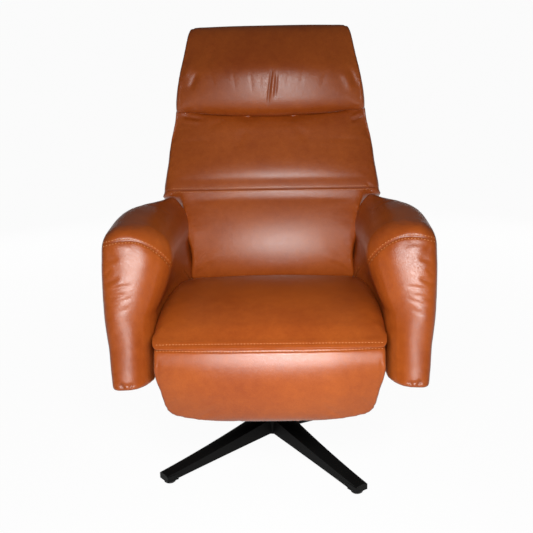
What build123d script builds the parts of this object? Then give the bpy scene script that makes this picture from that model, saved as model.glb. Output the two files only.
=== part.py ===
from build123d import *
import math
import os

# Leather recliner armchair on a four-leg swivel star.
# Millimetres, +Z up. The chair faces -Y. The origin is on the floor, on the swivel axis.
# Each piece is a closed solid of its own, written to parts/NODE.step.

# Fits and gaps
RUN_FIT = 0.05        # radial clearance of a pin that turns in its bore
PRESS_GAP = 0.02      # radial clearance left between pressed pieces
SEAT_GAP = 0.3        # gap between pieces that rest on or beside each other

# Star base
GLIDE_RADIUS = 15.0
GLIDE_HEIGHT = 8.0
GLIDE_STEM_RADIUS = 4.0
GLIDE_STEM_HEIGHT = 9.0
LEG_REACH = 360.0     # swivel axis to the end of a leg
LEG_TURN = 38.0       # direction of the first leg, as the star stands in the photograph
LEG_COUNT = 4
LEG_TIP_WIDTH = 38.0
LEG_TIP_THICK = 19.0
LEG_ROOT_WIDTH = 62.0
LEG_ROOT_THICK = 48.0
HUB_RADIUS = 44.0
HUB_BOTTOM = 46.0
HUB_HEIGHT = 54.0

# Swivel
SPINDLE_RADIUS = 14.0
SPINDLE_FOOT_RADIUS = 22.0
FLANGE_RADIUS = 34.0
FLANGE_THICK = 8.0
BEARING_THICK = 9.0
BUSH_WALL = 3.0
BUSH_LENGTH = 26.0
SOCKET_WALL = 6.0
SOCKET_LENGTH = 129.0
PLATE_THICK = 6.0
PLATE_WIDTH = 236.0
PLATE_DEPTH = 256.0
PLATE_BOLT_RADIUS = 4.0
PLATE_BOLT_X = 92.0
CIRCLIP_THICK = 2.0

# Steel seat frame and wooden seat box
RAIL_SIZE = 30.0
RAIL_WALL = 2.0
BOARD_THICK = 18.0
BOARD_HEIGHT = 66.0
REAR_BOARD_HEIGHT = 70.0
SEAT_BOX_HALF = 222.0   # outer half width of the seat box
SEAT_BOX_FRONT = -272.0
SEAT_BOX_REAR = 213.0   # front face of the rear board
CROSS_RAIL_Y = 110.0
COVER_THICK = 3.0
BELT_WIDTH = 56.0
BELT_THICK = 2.5
BELT_COUNT = 5
EAR_THICK = 6.0

# Seat cushion: half widths at five stations from the rear to the lip
CUSHION_REAR = 113.0
CUSHION_TOP = 178.0     # crown above the seat box
CUSHION_STATIONS = (
    # y, half width, drop of the crown, shoulder radius, fall from the crown to the shoulder
    (CUSHION_REAR, SEAT_BOX_HALF + 1.0, 52.0, 34.0, 14.0),
    (0.0, SEAT_BOX_HALF + 27.0, 13.0, 40.0, 16.0),
    (-150.0, SEAT_BOX_HALF + 46.0, 0.0, 38.0, 14.0),
    (-280.0, SEAT_BOX_HALF + 50.0, 20.0, 24.0, 7.0),
    (-345.0, SEAT_BOX_HALF + 47.0, 40.5, 14.0, 3.0),
)
CUSHION_LIP_DROP = 50.5
CUSHION_LIP_SHOULDER = 10.0
CUSHION_LIP_FALL = 1.5
CUSHION_LIP_INSET = 2.0
LIP_THICK = 3.2

# Leg rest: a padded flap that hangs from a roll at the front edge of the seat
ROLL_Y = -344.0
ROLL_RISE = 138.0       # pivot above the underside of the seat frame
ROLL_RADIUS = 58.0
ROLL_FOAM = 32.0
ROLL_SEAM_ANGLE = 60.0
ROLL_END_ANGLE = 115.0
ROLL_GAP = 3.8          # room that the flat of the flap needs as it turns under the lip
FLAP_DROP = 137.0       # pivot to the lowest edge
FLAP_HALF = SEAT_BOX_HALF + 44.0
FLAP_STRAIGHT = 8.0     # length of the straight sides below the pivot
FLAP_SIDE_BLEND = 90.0
FLAP_FOOT_HALF = SEAT_BOX_HALF + 16.0
FLAP_CORNER = 38.0
FLAP_BOTTOM_RISE = 23.0
FLAP_TUCK = 13.0        # how far the flap draws back towards its lower edge
FLAP_TOE = 14.0         # slope at the lower edge
FLAP_CROWN = 6.0
FLAP_BOARD_THICK = 12.0
FLAP_BOARD_HALF = SEAT_BOX_HALF - 17.0
FLAP_ARM_X = 140.0
FLAP_ARM_WIDTH = 28.0
CHEEK_INNER = SEAT_BOX_HALF
LEG_EAR_X = SEAT_BOX_HALF - 37.0
LEG_EAR_WIDTH = 24.0
LEG_EAR_BOSS = 18.0
HINGE_TUBE_RADIUS = 10.0
RATCHET_RADIUS = 22.0
RATCHET_THICK = 9.0

# Back: laid out along a spine that leans back from the recline pivot
PIVOT_Y = 186.0
PIVOT_RISE = 86.0       # recline pivot above the underside of the seat frame
BACK_LEAN = 14.8
TORSION_RADIUS = 12.5
PIN_RADIUS = 7.0
RECLINE_EAR_X = SEAT_BOX_HALF - 30.0
RECLINE_EAR_WIDTH = 28.0
UPRIGHT_X = RECLINE_EAR_X - 27.0
UPRIGHT_TOP = 545.0
SHELL_REAR = -25.0
SHELL_WALL = 8.0
SHELL_BOTTOM = 8.0
SHELL_CLEAR = 88.0      # above this the shell passes behind the arm rests
LOWER_HALF = SEAT_BOX_HALF - 6.0       # half width at the bottom of the back, between the arm rests
LOWER_HALF_TOP = SEAT_BOX_HALF + 40.0  # and below the wings, over the inner edge of the arm rests
WING_HALF = LOWER_HALF_TOP + 37.0
WING_CORNER = 13.0
NECK_HALF = 264.0
WING_S = 316.0          # lower edge of the wings, where the foam of the lower back ends
NECK_S = 556.0
LEVER_X = 60.0
LEVER_RADIUS = 42.0
LEVER_BORE = 8.4
LEVER_WIDTH = 24.0
RECLINE_RANGE = 38.0

# Head rest
HEAD_PIVOT_S = 560.0
HEAD_PIVOT_N = 41.0
HEAD_GAP = 6.5
HEAD_TOP_S = 778.0
HEAD_HALF = 262.0
HEAD_TOP_HALF = 216.0
HEAD_BRACKET_X = 60.0
HEAD_BRACKET_WIDTH = 15.0
HEAD_FRAME_HALF = 150.0
HEAD_PLATE_THICK = 5.0
HEAD_PIN_RADIUS = 4.0
HEAD_TUBE_RADIUS = 8.0

# Gas spring under the seat
SPRING_ANCHOR_Y = -110.0
SPRING_ANCHOR_RISE = 48.0
SPRING_BODY_RADIUS = 11.0
SPRING_BODY_LENGTH = 205.0
SPRING_ROD_RADIUS = 5.0
SPRING_EYE_RADIUS = 10.0
SPRING_PIN_RADIUS = 6.0
SPRING_EYE_THICK = 10.0
SPRING_ROD_INSIDE = 70.0

# Arm rests: stations from the rear end to the front face
ARM_BOTTOM = 320.0
ARM_LEAN = 0.24        # the front face leans back as it rises
ARM_BOARD_THICK = 18.0
ARM_BOARD_X = SEAT_BOX_HALF + 78.0     # centre of the board
ARM_BOARD_FRONT = -230.0
ARM_BOARD_REAR = 60.0
ARM_BOARD_HEIGHT = 250.0
ARM_BRACKET_WIDTH = 60.0
ARM_BRACKET_THICK = 6.0
ARM_BRACKET_Y = (-170.0, 10.0)
ARM_BOLT_RADIUS = 4.0

# Levels that follow from the sizes above
HUB_TOP = HUB_BOTTOM + HUB_HEIGHT
FLANGE_TOP = HUB_TOP + FLANGE_THICK
SOCKET_BOTTOM = FLANGE_TOP + BEARING_THICK
PLATE_BOTTOM = SOCKET_BOTTOM + SOCKET_LENGTH
FRAME_BOTTOM = PLATE_BOTTOM + PLATE_THICK
FRAME_TOP = FRAME_BOTTOM + RAIL_SIZE
BOX_TOP = FRAME_BOTTOM + BOARD_HEIGHT
CUSHION_BOTTOM = BOX_TOP + BELT_THICK + SEAT_GAP
CROWN_TOP = BOX_TOP + CUSHION_TOP
ROLL_Z = FRAME_BOTTOM + ROLL_RISE
PIVOT_Z = FRAME_BOTTOM + PIVOT_RISE
SOCKET_BORE = SPINDLE_RADIUS + RUN_FIT + BUSH_WALL
SOCKET_OUTER = SOCKET_BORE + SOCKET_WALL
RAIL_OUTER = SEAT_BOX_HALF - BOARD_THICK - SEAT_GAP
PAD_REAR = TORSION_RADIUS + BELT_THICK + SEAT_GAP   # rear face of the back foam, in front of its belts
SHELL_FRONT = PAD_REAR - SEAT_GAP
HEAD_TUBE_N = PAD_REAR - HEAD_TUBE_RADIUS - SEAT_GAP

PARTS = {}


def add(name, shape):
    """Keeps a piece under its node name."""
    PARTS[name] = shape


def line(a, b):
    return Edge.make_line(Vector(*a), Vector(*b))


def arc(a, b, c):
    return Edge.make_three_point_arc(Vector(*a), Vector(*b), Vector(*c))


def loft_through(sections, ruled=False):
    """A solid lofted through closed loops of edges."""
    return Solid.make_loft([Wire(edges) for edges in sections], ruled)


def box(x0, x1, y0, y1, z0, z1):
    """A block given by its limits."""
    size = Box(x1 - x0, y1 - y0, z1 - z0, align=(Align.MIN, Align.MIN, Align.MIN))
    return Pos(x0, y0, z0) * size


def rod_z(radius, z0, z1, x=0.0, y=0.0):
    """A round bar along Z."""
    bar = Cylinder(radius, z1 - z0, align=(Align.CENTER, Align.CENTER, Align.MIN))
    return Pos(x, y, z0) * bar


def rod_x(radius, x0, x1, y, z):
    """A round bar along X."""
    bar = Cylinder(radius, x1 - x0, align=(Align.CENTER, Align.CENTER, Align.MIN))
    return Pos(x0, y, z) * Rot(0, 90, 0) * bar


def side_plate(sketch, x0, thick):
    """A plate in a plane across X, from a sketch in (y, z)."""
    return extrude(Plane.YZ.offset(x0) * sketch, amount=thick)


def link(y0, z0, y1, z1, width):
    """Sketch of a bar with round ends between two points, in (y, z)."""
    length = math.hypot(y1 - y0, z1 - z0)
    turn = math.degrees(math.atan2(z1 - z0, y1 - y0))
    bar = Pos((y0 + y1) / 2, (z0 + z1) / 2) * Rot(0, 0, turn) * SlotCenterToCenter(length, width)
    return bar


# Star base: a hub with four tapered legs, on four plastic glides
def leg_section(reach, width, thick, bottom):
    """Loop across a leg at a distance from the axis, with a rounded top."""
    half = width / 2
    crown = 0.12 * thick
    return [
        line((reach, -half, bottom), (reach, half, bottom)),
        line((reach, half, bottom), (reach, half * 0.9, bottom + thick - crown)),
        arc((reach, half * 0.9, bottom + thick - crown), (reach, 0, bottom + thick),
            (reach, -half * 0.9, bottom + thick - crown)),
        line((reach, -half * 0.9, bottom + thick - crown), (reach, -half, bottom)),
    ]


def build_base():
    root_reach = HUB_RADIUS * 0.5
    middle = 0.55
    middle_width = LEG_TIP_WIDTH + (LEG_ROOT_WIDTH - LEG_TIP_WIDTH) * (1 - middle) * 0.8
    middle_thick = LEG_TIP_THICK + (LEG_ROOT_THICK - LEG_TIP_THICK) * (1 - middle) * 0.75
    root_bottom = HUB_TOP - LEG_ROOT_THICK - 2.0
    middle_bottom = GLIDE_HEIGHT + (root_bottom - GLIDE_HEIGHT) * (1 - middle) * 1.05
    leg = loft_through([
        leg_section(root_reach, LEG_ROOT_WIDTH, LEG_ROOT_THICK, root_bottom),
        leg_section(LEG_REACH * middle, middle_width, middle_thick, middle_bottom),
        leg_section(LEG_REACH, LEG_TIP_WIDTH, LEG_TIP_THICK, GLIDE_HEIGHT),
    ])
    glide_reach = LEG_REACH - GLIDE_RADIUS - 3.0
    flat = box(glide_reach - GLIDE_RADIUS - 1.0, LEG_REACH + 1.0, -LEG_TIP_WIDTH, LEG_TIP_WIDTH,
               0.0, GLIDE_HEIGHT)
    stem_hole = rod_z(GLIDE_STEM_RADIUS + PRESS_GAP, 0.0, GLIDE_HEIGHT + GLIDE_STEM_HEIGHT + SEAT_GAP,
                      glide_reach)
    pad = box(glide_reach - GLIDE_RADIUS, LEG_REACH, -LEG_TIP_WIDTH / 2, LEG_TIP_WIDTH / 2,
              GLIDE_HEIGHT, GLIDE_HEIGHT + LEG_TIP_THICK * 0.8)
    leg = leg + pad - flat - stem_hole
    glide = rod_z(GLIDE_RADIUS, 0.0, GLIDE_HEIGHT, glide_reach)
    glide = chamfer(glide.edges().group_by(Axis.Z)[0], 1.5)
    glide += rod_z(GLIDE_STEM_RADIUS, 0.0, GLIDE_HEIGHT + GLIDE_STEM_HEIGHT, glide_reach)
    hub = rod_z(HUB_RADIUS, HUB_BOTTOM, HUB_TOP)
    hub = chamfer(hub.edges().group_by(Axis.Z)[-1], 5.0)
    star = hub
    glides = []
    for number in range(LEG_COUNT):
        turn = Rot(0, 0, LEG_TURN + number * 360.0 / LEG_COUNT)
        star += turn * leg
        glides.append(turn * glide)
    star -= rod_z(SPINDLE_FOOT_RADIUS + PRESS_GAP, HUB_BOTTOM - 1.0, HUB_TOP + 1.0)
    add("star_base", star)
    add("base_glides", Compound(glides))


# Swivel: a flanged spindle in the hub, a thrust bearing, and a bushed socket under the seat
def build_swivel():
    spindle_top = PLATE_BOTTOM - 8.0
    groove_z = spindle_top - 6.0
    groove_radius = SPINDLE_RADIUS - 1.5
    spindle = rod_z(SPINDLE_FOOT_RADIUS, HUB_BOTTOM, HUB_TOP)
    spindle += rod_z(FLANGE_RADIUS, HUB_TOP, FLANGE_TOP)
    spindle += rod_z(SPINDLE_RADIUS, FLANGE_TOP, spindle_top)
    spindle -= rod_z(SPINDLE_RADIUS + 1, groove_z, groove_z + CIRCLIP_THICK) - rod_z(
        groove_radius, groove_z, groove_z + CIRCLIP_THICK)
    spindle = chamfer(spindle.edges().group_by(Axis.Z)[-1], 1.5)
    add("swivel_spindle", spindle)
    clip_play = 0.1
    clip = rod_z(SPINDLE_RADIUS + 2.4, groove_z + clip_play, groove_z + CIRCLIP_THICK - clip_play)
    clip -= rod_z(groove_radius + PRESS_GAP, groove_z - 1, groove_z + CIRCLIP_THICK + 1)
    clip -= box(0, 2 * SPINDLE_RADIUS, -2.5, 2.5, groove_z - 1, groove_z + CIRCLIP_THICK + 1)
    add("spindle_circlip", clip)
    bearing = rod_z(FLANGE_RADIUS - 2.0, FLANGE_TOP, SOCKET_BOTTOM)
    bearing -= rod_z(SPINDLE_RADIUS + 0.5, FLANGE_TOP - 1, SOCKET_BOTTOM + 1)
    groove = Pos(0, 0, (FLANGE_TOP + SOCKET_BOTTOM) / 2) * Torus(FLANGE_RADIUS - 2.0, 2.5)
    add("thrust_bearing", bearing - groove)
    socket = rod_z(SOCKET_OUTER, SOCKET_BOTTOM, PLATE_BOTTOM)
    plate = box(-PLATE_WIDTH / 2, PLATE_WIDTH / 2, -PLATE_DEPTH / 2, PLATE_DEPTH / 2,
                PLATE_BOTTOM, FRAME_BOTTOM)
    plate = fillet(plate.edges().filter_by(Axis.Z), 18.0)
    plate += socket
    plate -= rod_z(SOCKET_BORE + PRESS_GAP, SOCKET_BOTTOM - 1, PLATE_BOTTOM)
    rib = box(SOCKET_OUTER - 2, PLATE_WIDTH * 0.40, -3, 3, PLATE_BOTTOM - 34, PLATE_BOTTOM)
    rib_edge = rib.edges().filter_by(Axis.Y).sort_by(Axis.Z)[0:2].sort_by(Axis.X)[-1]
    rib = chamfer(rib_edge, 32.0, 50.0)
    bolts = []
    for number in range(4):
        plate += Rot(0, 0, 90 * number) * rib
    for x in (-PLATE_BOLT_X, PLATE_BOLT_X):
        for y in (-CROSS_RAIL_Y, CROSS_RAIL_Y):
            plate -= rod_z(PLATE_BOLT_RADIUS + 0.2, PLATE_BOTTOM - 1, FRAME_BOTTOM + 1, x, y)
            bolt = rod_z(PLATE_BOLT_RADIUS, PLATE_BOTTOM, FRAME_BOTTOM + RAIL_SIZE * 0.5, x, y)
            head = Pos(x, y, PLATE_BOTTOM - 5.0) * extrude(RegularPolygon(7.5, 6), amount=5.0)
            bolts.append(bolt + head)
    add("swivel_plate", plate)
    add("plate_bolts", Compound(bolts))
    bushes = []
    for z0 in (SOCKET_BOTTOM, groove_z - 6.0 - BUSH_LENGTH):
        bush = rod_z(SOCKET_BORE, z0, z0 + BUSH_LENGTH)
        bushes.append(bush - rod_z(SPINDLE_RADIUS + RUN_FIT, z0 - 1, z0 + BUSH_LENGTH + 1))
    add("swivel_bushes", Compound(bushes))


# Seat frame: welded square tube, with ears for the leg rest and for the recline pivot
def tube_box(x0, x1, y0, y1, open_x, open_y):
    """Outer block and inner void of one square tube lying flat in the frame."""
    outer = box(x0, x1, y0, y1, FRAME_BOTTOM, FRAME_TOP)
    wall_x = -RAIL_SIZE * 0.6 if open_x else RAIL_WALL
    wall_y = -1.0 if open_y else RAIL_WALL
    inner = box(x0 + wall_x, x1 - wall_x, y0 + wall_y, y1 - wall_y,
                FRAME_BOTTOM + RAIL_WALL, FRAME_TOP - RAIL_WALL)
    return outer, inner


def build_seat_frame():
    rail_inner = RAIL_OUTER - RAIL_SIZE
    rear_end = SEAT_BOX_REAR - SEAT_GAP
    tubes = [
        tube_box(rail_inner, RAIL_OUTER, SEAT_BOX_FRONT, rear_end, False, True),
        tube_box(-RAIL_OUTER, -rail_inner, SEAT_BOX_FRONT, rear_end, False, True),
    ]
    front_y = SEAT_BOX_FRONT + RAIL_SIZE / 2
    for y in (front_y, -CROSS_RAIL_Y, CROSS_RAIL_Y):
        tubes.append(tube_box(-rail_inner, rail_inner, y - RAIL_SIZE / 2, y + RAIL_SIZE / 2, True, False))
    frame = tubes[0][0]
    for outer, _ in tubes[1:]:
        frame += outer
    for _, inner in tubes:
        frame -= inner
    for x in (-PLATE_BOLT_X, PLATE_BOLT_X):
        for y in (-CROSS_RAIL_Y, CROSS_RAIL_Y):
            frame -= rod_z(PLATE_BOLT_RADIUS + PRESS_GAP, FRAME_BOTTOM - 1, FRAME_BOTTOM + RAIL_SIZE * 0.6, x, y)
    leg_ear = link(SEAT_BOX_FRONT, FRAME_BOTTOM + LEG_EAR_WIDTH / 2, ROLL_Y, ROLL_Z, LEG_EAR_WIDTH)
    leg_ear += Pos(ROLL_Y, ROLL_Z) * Circle(LEG_EAR_BOSS)
    leg_ear -= Pos(ROLL_Y, ROLL_Z) * Circle(HINGE_TUBE_RADIUS + BUSH_WALL + PRESS_GAP)
    leg_ear -= Pos(SEAT_BOX_FRONT + 50.0, FRAME_BOTTOM) * Rectangle(100.0, 400.0)
    back_ear = link(PIVOT_Y, FRAME_TOP - 8.0, PIVOT_Y, PIVOT_Z, RECLINE_EAR_WIDTH)
    back_ear -= Pos(PIVOT_Y, PIVOT_Z) * Circle(PIN_RADIUS + BUSH_WALL + PRESS_GAP)
    back_ear -= Pos(PIVOT_Y, FRAME_TOP - 50.0) * Rectangle(200.0, 100.0)
    anchor_z = FRAME_BOTTOM + SPRING_ANCHOR_RISE
    spring_ear = link(SPRING_ANCHOR_Y, FRAME_TOP - 8.0, SPRING_ANCHOR_Y, anchor_z, 22.0)
    spring_ear -= Pos(SPRING_ANCHOR_Y, anchor_z) * Circle(SPRING_PIN_RADIUS + PRESS_GAP)
    spring_ear -= Pos(SPRING_ANCHOR_Y, FRAME_TOP - 50.0) * Rectangle(200.0, 100.0)
    for x in (-LEG_EAR_X, LEG_EAR_X):
        frame += side_plate(leg_ear, x - EAR_THICK / 2, EAR_THICK)
    for x in (-RECLINE_EAR_X, RECLINE_EAR_X):
        frame += side_plate(back_ear, x - EAR_THICK / 2, EAR_THICK)
    ear_offset = SPRING_EYE_THICK / 2 + 1.0
    for x in (LEVER_X - ear_offset - 4.0, LEVER_X + ear_offset):
        frame += side_plate(spring_ear, x, 4.0)
    add("seat_frame", frame)

    leg_bushes = []
    recline_bushes = []
    for side in (-1, 1):
        x = side * LEG_EAR_X
        bush = rod_x(HINGE_TUBE_RADIUS + BUSH_WALL, x - EAR_THICK / 2, x + EAR_THICK / 2, ROLL_Y, ROLL_Z)
        leg_bushes.append(bush - rod_x(HINGE_TUBE_RADIUS + RUN_FIT, x - 20, x + 20, ROLL_Y, ROLL_Z))
        x = side * RECLINE_EAR_X
        bush = rod_x(PIN_RADIUS + BUSH_WALL, x - EAR_THICK / 2, x + EAR_THICK / 2, PIVOT_Y, PIVOT_Z)
        recline_bushes.append(bush - rod_x(PIN_RADIUS + RUN_FIT, x - 20, x + 20, PIVOT_Y, PIVOT_Z))
    add("leg_rest_bushes", Compound(leg_bushes))
    add("recline_bushes", Compound(recline_bushes))
    reach = ear_offset + 4.0
    pin = rod_x(SPRING_PIN_RADIUS, LEVER_X - reach - 2.0, LEVER_X + reach + 2.0, SPRING_ANCHOR_Y, anchor_z)
    add("spring_anchor_pin", pin)


# Seat box: wooden boards round the steel frame, belts across it and a cover below
def build_seat_box():
    inner = SEAT_BOX_HALF - BOARD_THICK
    rear_outer = SEAT_BOX_REAR + BOARD_THICK
    side = box(inner, SEAT_BOX_HALF, SEAT_BOX_FRONT, SEAT_BOX_REAR - SEAT_GAP, FRAME_BOTTOM, BOX_TOP)
    add("seat_board_right", side)
    add("seat_board_left", mirror(side, Plane.YZ))
    rear = box(-SEAT_BOX_HALF, SEAT_BOX_HALF, SEAT_BOX_REAR, rear_outer,
               FRAME_BOTTOM, FRAME_BOTTOM + REAR_BOARD_HEIGHT)
    add("seat_board_rear", fillet(rear.edges().filter_by(Axis.Z), 8.0))
    front = box(-inner + SEAT_GAP, inner - SEAT_GAP, SEAT_BOX_FRONT, SEAT_BOX_FRONT + BOARD_THICK,
                FRAME_TOP, BOX_TOP)
    add("seat_board_front", front)
    cover = box(-SEAT_BOX_HALF, SEAT_BOX_HALF, SEAT_BOX_FRONT, rear_outer,
                FRAME_BOTTOM - COVER_THICK, FRAME_BOTTOM)
    cover -= box(-PLATE_WIDTH / 2 - 2, PLATE_WIDTH / 2 + 2, -PLATE_DEPTH / 2 - 2, PLATE_DEPTH / 2 + 2,
                 FRAME_BOTTOM - COVER_THICK - 1, FRAME_BOTTOM + 1)
    add("underside_cover", cover)
    first = SEAT_BOX_FRONT + 62.0
    last = CUSHION_REAR - BELT_WIDTH / 2 - 12.0
    belts = []
    for number in range(BELT_COUNT):
        y = first + (last - first) * number / (BELT_COUNT - 1)
        belts.append(box(-SEAT_BOX_HALF, SEAT_BOX_HALF, y - BELT_WIDTH / 2, y + BELT_WIDTH / 2,
                         BOX_TOP, BOX_TOP + BELT_THICK))
    add("seat_belts", Compound(belts))


# Seat cushion: a crowned block, hollowed at the front for the roll of the leg rest
def cushion_section(y, half, top, shoulder, fall):
    """Loop across the cushion: flat below, bulging sides, round shoulders and a crowned top."""
    bottom_half = half - 10.0
    edge_x = half - shoulder
    edge_z = top - fall
    shoulder_z = edge_z - shoulder
    bend = shoulder * 0.293
    middle_z = (CUSHION_BOTTOM + shoulder_z) / 2
    return [
        line((-bottom_half, y, CUSHION_BOTTOM), (bottom_half, y, CUSHION_BOTTOM)),
        arc((bottom_half, y, CUSHION_BOTTOM), (half - 1.5, y, middle_z), (half, y, shoulder_z)),
        arc((half, y, shoulder_z), (half - bend, y, edge_z - bend), (edge_x, y, edge_z)),
        arc((edge_x, y, edge_z), (0, y, top), (-edge_x, y, edge_z)),
        arc((-edge_x, y, edge_z), (-half + bend, y, edge_z - bend), (-half, y, shoulder_z)),
        arc((-half, y, shoulder_z), (-half + 1.5, y, middle_z), (-bottom_half, y, CUSHION_BOTTOM)),
    ]


def build_seat_cushion():
    lip_angle = math.radians(ROLL_SEAM_ANGLE)
    lip_y = ROLL_Y - (ROLL_RADIUS + ROLL_GAP + LIP_THICK) * math.cos(lip_angle)
    stations = [(y, half, CROWN_TOP - drop, shoulder, fall)
                for y, half, drop, shoulder, fall in CUSHION_STATIONS]
    stations.append((lip_y, stations[-1][1] - CUSHION_LIP_INSET, CROWN_TOP - CUSHION_LIP_DROP,
                     CUSHION_LIP_SHOULDER, CUSHION_LIP_FALL))
    cushion = loft_through([cushion_section(*station) for station in stations])
    void_radius = ROLL_RADIUS + ROLL_GAP
    wide = 2 * FLAP_HALF
    cushion -= rod_x(void_radius, -wide, wide, ROLL_Y, ROLL_Z)
    cushion -= box(-wide, wide, ROLL_Y - 2 * void_radius, ROLL_Y + void_radius,
                   CUSHION_BOTTOM - 10.0, ROLL_Z)
    add("seat_cushion", cushion)


# Leg rest: foam on a board, hung on a tube that turns in the ears of the seat frame
def roll_point(x, radius, angle):
    """A point on the roll; the angle runs from the front over the top."""
    turn = math.radians(angle)
    return (x, ROLL_Y - radius * math.cos(turn), ROLL_Z + radius * math.sin(turn))


def flap_section(x):
    """Loop across the leg rest at x: roll at the top, flap below, hollow behind the roll."""
    ease = FLAP_CROWN * (x / FLAP_HALF) ** 2
    outer = ROLL_RADIUS - ease
    inner = ROLL_RADIUS - ROLL_FOAM
    mid = ROLL_END_ANGLE / 2
    foot_z = ROLL_Z - FLAP_DROP
    front_top = roll_point(x, outer, 0.0)
    foot_front = (x, ROLL_Y - outer + FLAP_TUCK, foot_z + FLAP_TOE)
    foot_low = (x, ROLL_Y - outer + FLAP_TUCK + FLAP_TOE, foot_z)
    rear_y = ROLL_Y - inner
    rear_low = (x, rear_y, foot_z + 6.0)
    face = FLAP_DROP - FLAP_TOE
    bulge = (x, ROLL_Y - outer + FLAP_TUCK * 0.25, ROLL_Z - face * 0.5)
    inner_top = roll_point(x, inner, 0.0)
    return [
        arc(roll_point(x, outer, ROLL_END_ANGLE), roll_point(x, outer, mid), front_top),
        arc(front_top, bulge, foot_front),
        line(foot_front, foot_low),
        line(foot_low, rear_low),
        line(rear_low, inner_top),
        arc(inner_top, roll_point(x, inner, mid), roll_point(x, inner, ROLL_END_ANGLE)),
        line(roll_point(x, inner, ROLL_END_ANGLE), roll_point(x, outer, ROLL_END_ANGLE)),
    ]


def flap_outline():
    """Tongue outline of the leg rest, seen from the front, in (x, z)."""
    foot_z = ROLL_Z - FLAP_DROP
    top_z = ROLL_Z + ROLL_RADIUS + 5.0
    side_z = ROLL_Z - FLAP_STRAIGHT
    low_z = foot_z + FLAP_BOTTOM_RISE
    edges = [
        Edge.make_line((FLAP_HALF, top_z), (FLAP_HALF, side_z)),
        Edge.make_line((FLAP_HALF, side_z), (FLAP_FOOT_HALF, low_z)),
        Edge.make_three_point_arc((FLAP_FOOT_HALF, low_z), (0, foot_z), (-FLAP_FOOT_HALF, low_z)),
        Edge.make_line((-FLAP_FOOT_HALF, low_z), (-FLAP_HALF, side_z)),
        Edge.make_line((-FLAP_HALF, side_z), (-FLAP_HALF, top_z)),
        Edge.make_line((-FLAP_HALF, top_z), (FLAP_HALF, top_z)),
    ]
    outline = make_face(edges)
    outline = fillet(outline.vertices().group_by(Axis.Y)[0], FLAP_CORNER)
    sides = outline.vertices().filter_by(lambda v: abs(v.Y - side_z) < 0.01)
    return fillet(sides, FLAP_SIDE_BLEND)


def build_leg_rest():
    xs = (-FLAP_HALF, -FLAP_HALF * 0.6, 0.0, FLAP_HALF * 0.6, FLAP_HALF)
    flap = loft_through([flap_section(x) for x in xs])
    cheek_radius = ROLL_RADIUS - FLAP_CROWN
    for side in (-1, 1):
        x0 = min(side * CHEEK_INNER, side * FLAP_HALF)
        cheek = rod_x(cheek_radius, x0, x0 + FLAP_HALF - CHEEK_INNER, ROLL_Y, ROLL_Z)
        rear_cut = Pos(0, ROLL_Y, ROLL_Z) * Rot(90.0 - ROLL_END_ANGLE, 0, 0) * Pos(
            0, 100.0, 0) * Box(2 * FLAP_HALF + 10, 200.0, 400.0)
        flap += cheek - rear_cut
    prism = extrude(Plane.XZ * flap_outline(), amount=1000.0, both=True)
    add("leg_rest_cushion", flap & prism)

    inner = ROLL_RADIUS - ROLL_FOAM
    board_y = ROLL_Y - inner + SEAT_GAP
    foot_z = ROLL_Z - FLAP_DROP
    board_top = ROLL_Z - HINGE_TUBE_RADIUS - 14.0
    board = box(-FLAP_BOARD_HALF, FLAP_BOARD_HALF, board_y, board_y + FLAP_BOARD_THICK,
                foot_z + 30.0, board_top)
    add("leg_rest_board", board)
    rear_y = board_y + FLAP_BOARD_THICK
    arms = []
    for side in (-1, 1):
        x0 = side * FLAP_ARM_X - 3.0
        arm = link(ROLL_Y, ROLL_Z, ROLL_Y - 6.0, foot_z + 54.0, FLAP_ARM_WIDTH)
        front_cut = 2 * (board_top + SEAT_GAP - foot_z - 40.0)
        arm -= Pos(rear_y + SEAT_GAP - 50.0, foot_z + 40.0) * Rectangle(100.0, front_cut)
        arm -= Pos(ROLL_Y, ROLL_Z) * Circle(HINGE_TUBE_RADIUS + PRESS_GAP)
        arms.append(side_plate(arm, x0, 6.0))
    add("leg_rest_arms", Compound(arms))
    tube_end = LEG_EAR_X + EAR_THICK / 2 + RATCHET_THICK + 2.0
    tube = rod_x(HINGE_TUBE_RADIUS, -tube_end, tube_end, ROLL_Y, ROLL_Z)
    tube -= rod_x(HINGE_TUBE_RADIUS - 2.0, -tube_end - 1, tube_end + 1, ROLL_Y, ROLL_Z)
    add("leg_rest_hinge_tube", tube)
    for side, name in ((-1, "leg_rest_ratchet_left"), (1, "leg_rest_ratchet_right")):
        x0 = side * (LEG_EAR_X + EAR_THICK / 2 + SEAT_GAP)
        x1 = x0 + side * RATCHET_THICK
        disc = rod_x(RATCHET_RADIUS, min(x0, x1), max(x0, x1), ROLL_Y, ROLL_Z)
        add(name, disc - rod_x(HINGE_TUBE_RADIUS + PRESS_GAP, -500, 500, ROLL_Y, ROLL_Z))


# Back: points in the leaning frame of the spine, x across, s along it and n forward of it
SPINE = Plane(
    origin=(0, PIVOT_Y, PIVOT_Z),
    x_dir=(1, 0, 0),
    z_dir=(0, -math.cos(math.radians(BACK_LEAN)), math.sin(math.radians(BACK_LEAN))),
)


FORWARD = Axis((0, 0, 0), tuple(SPINE.z_dir))


def spine_point(x, s, n):
    return tuple(SPINE.from_local_coords(Vector(x, s, n)))


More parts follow.
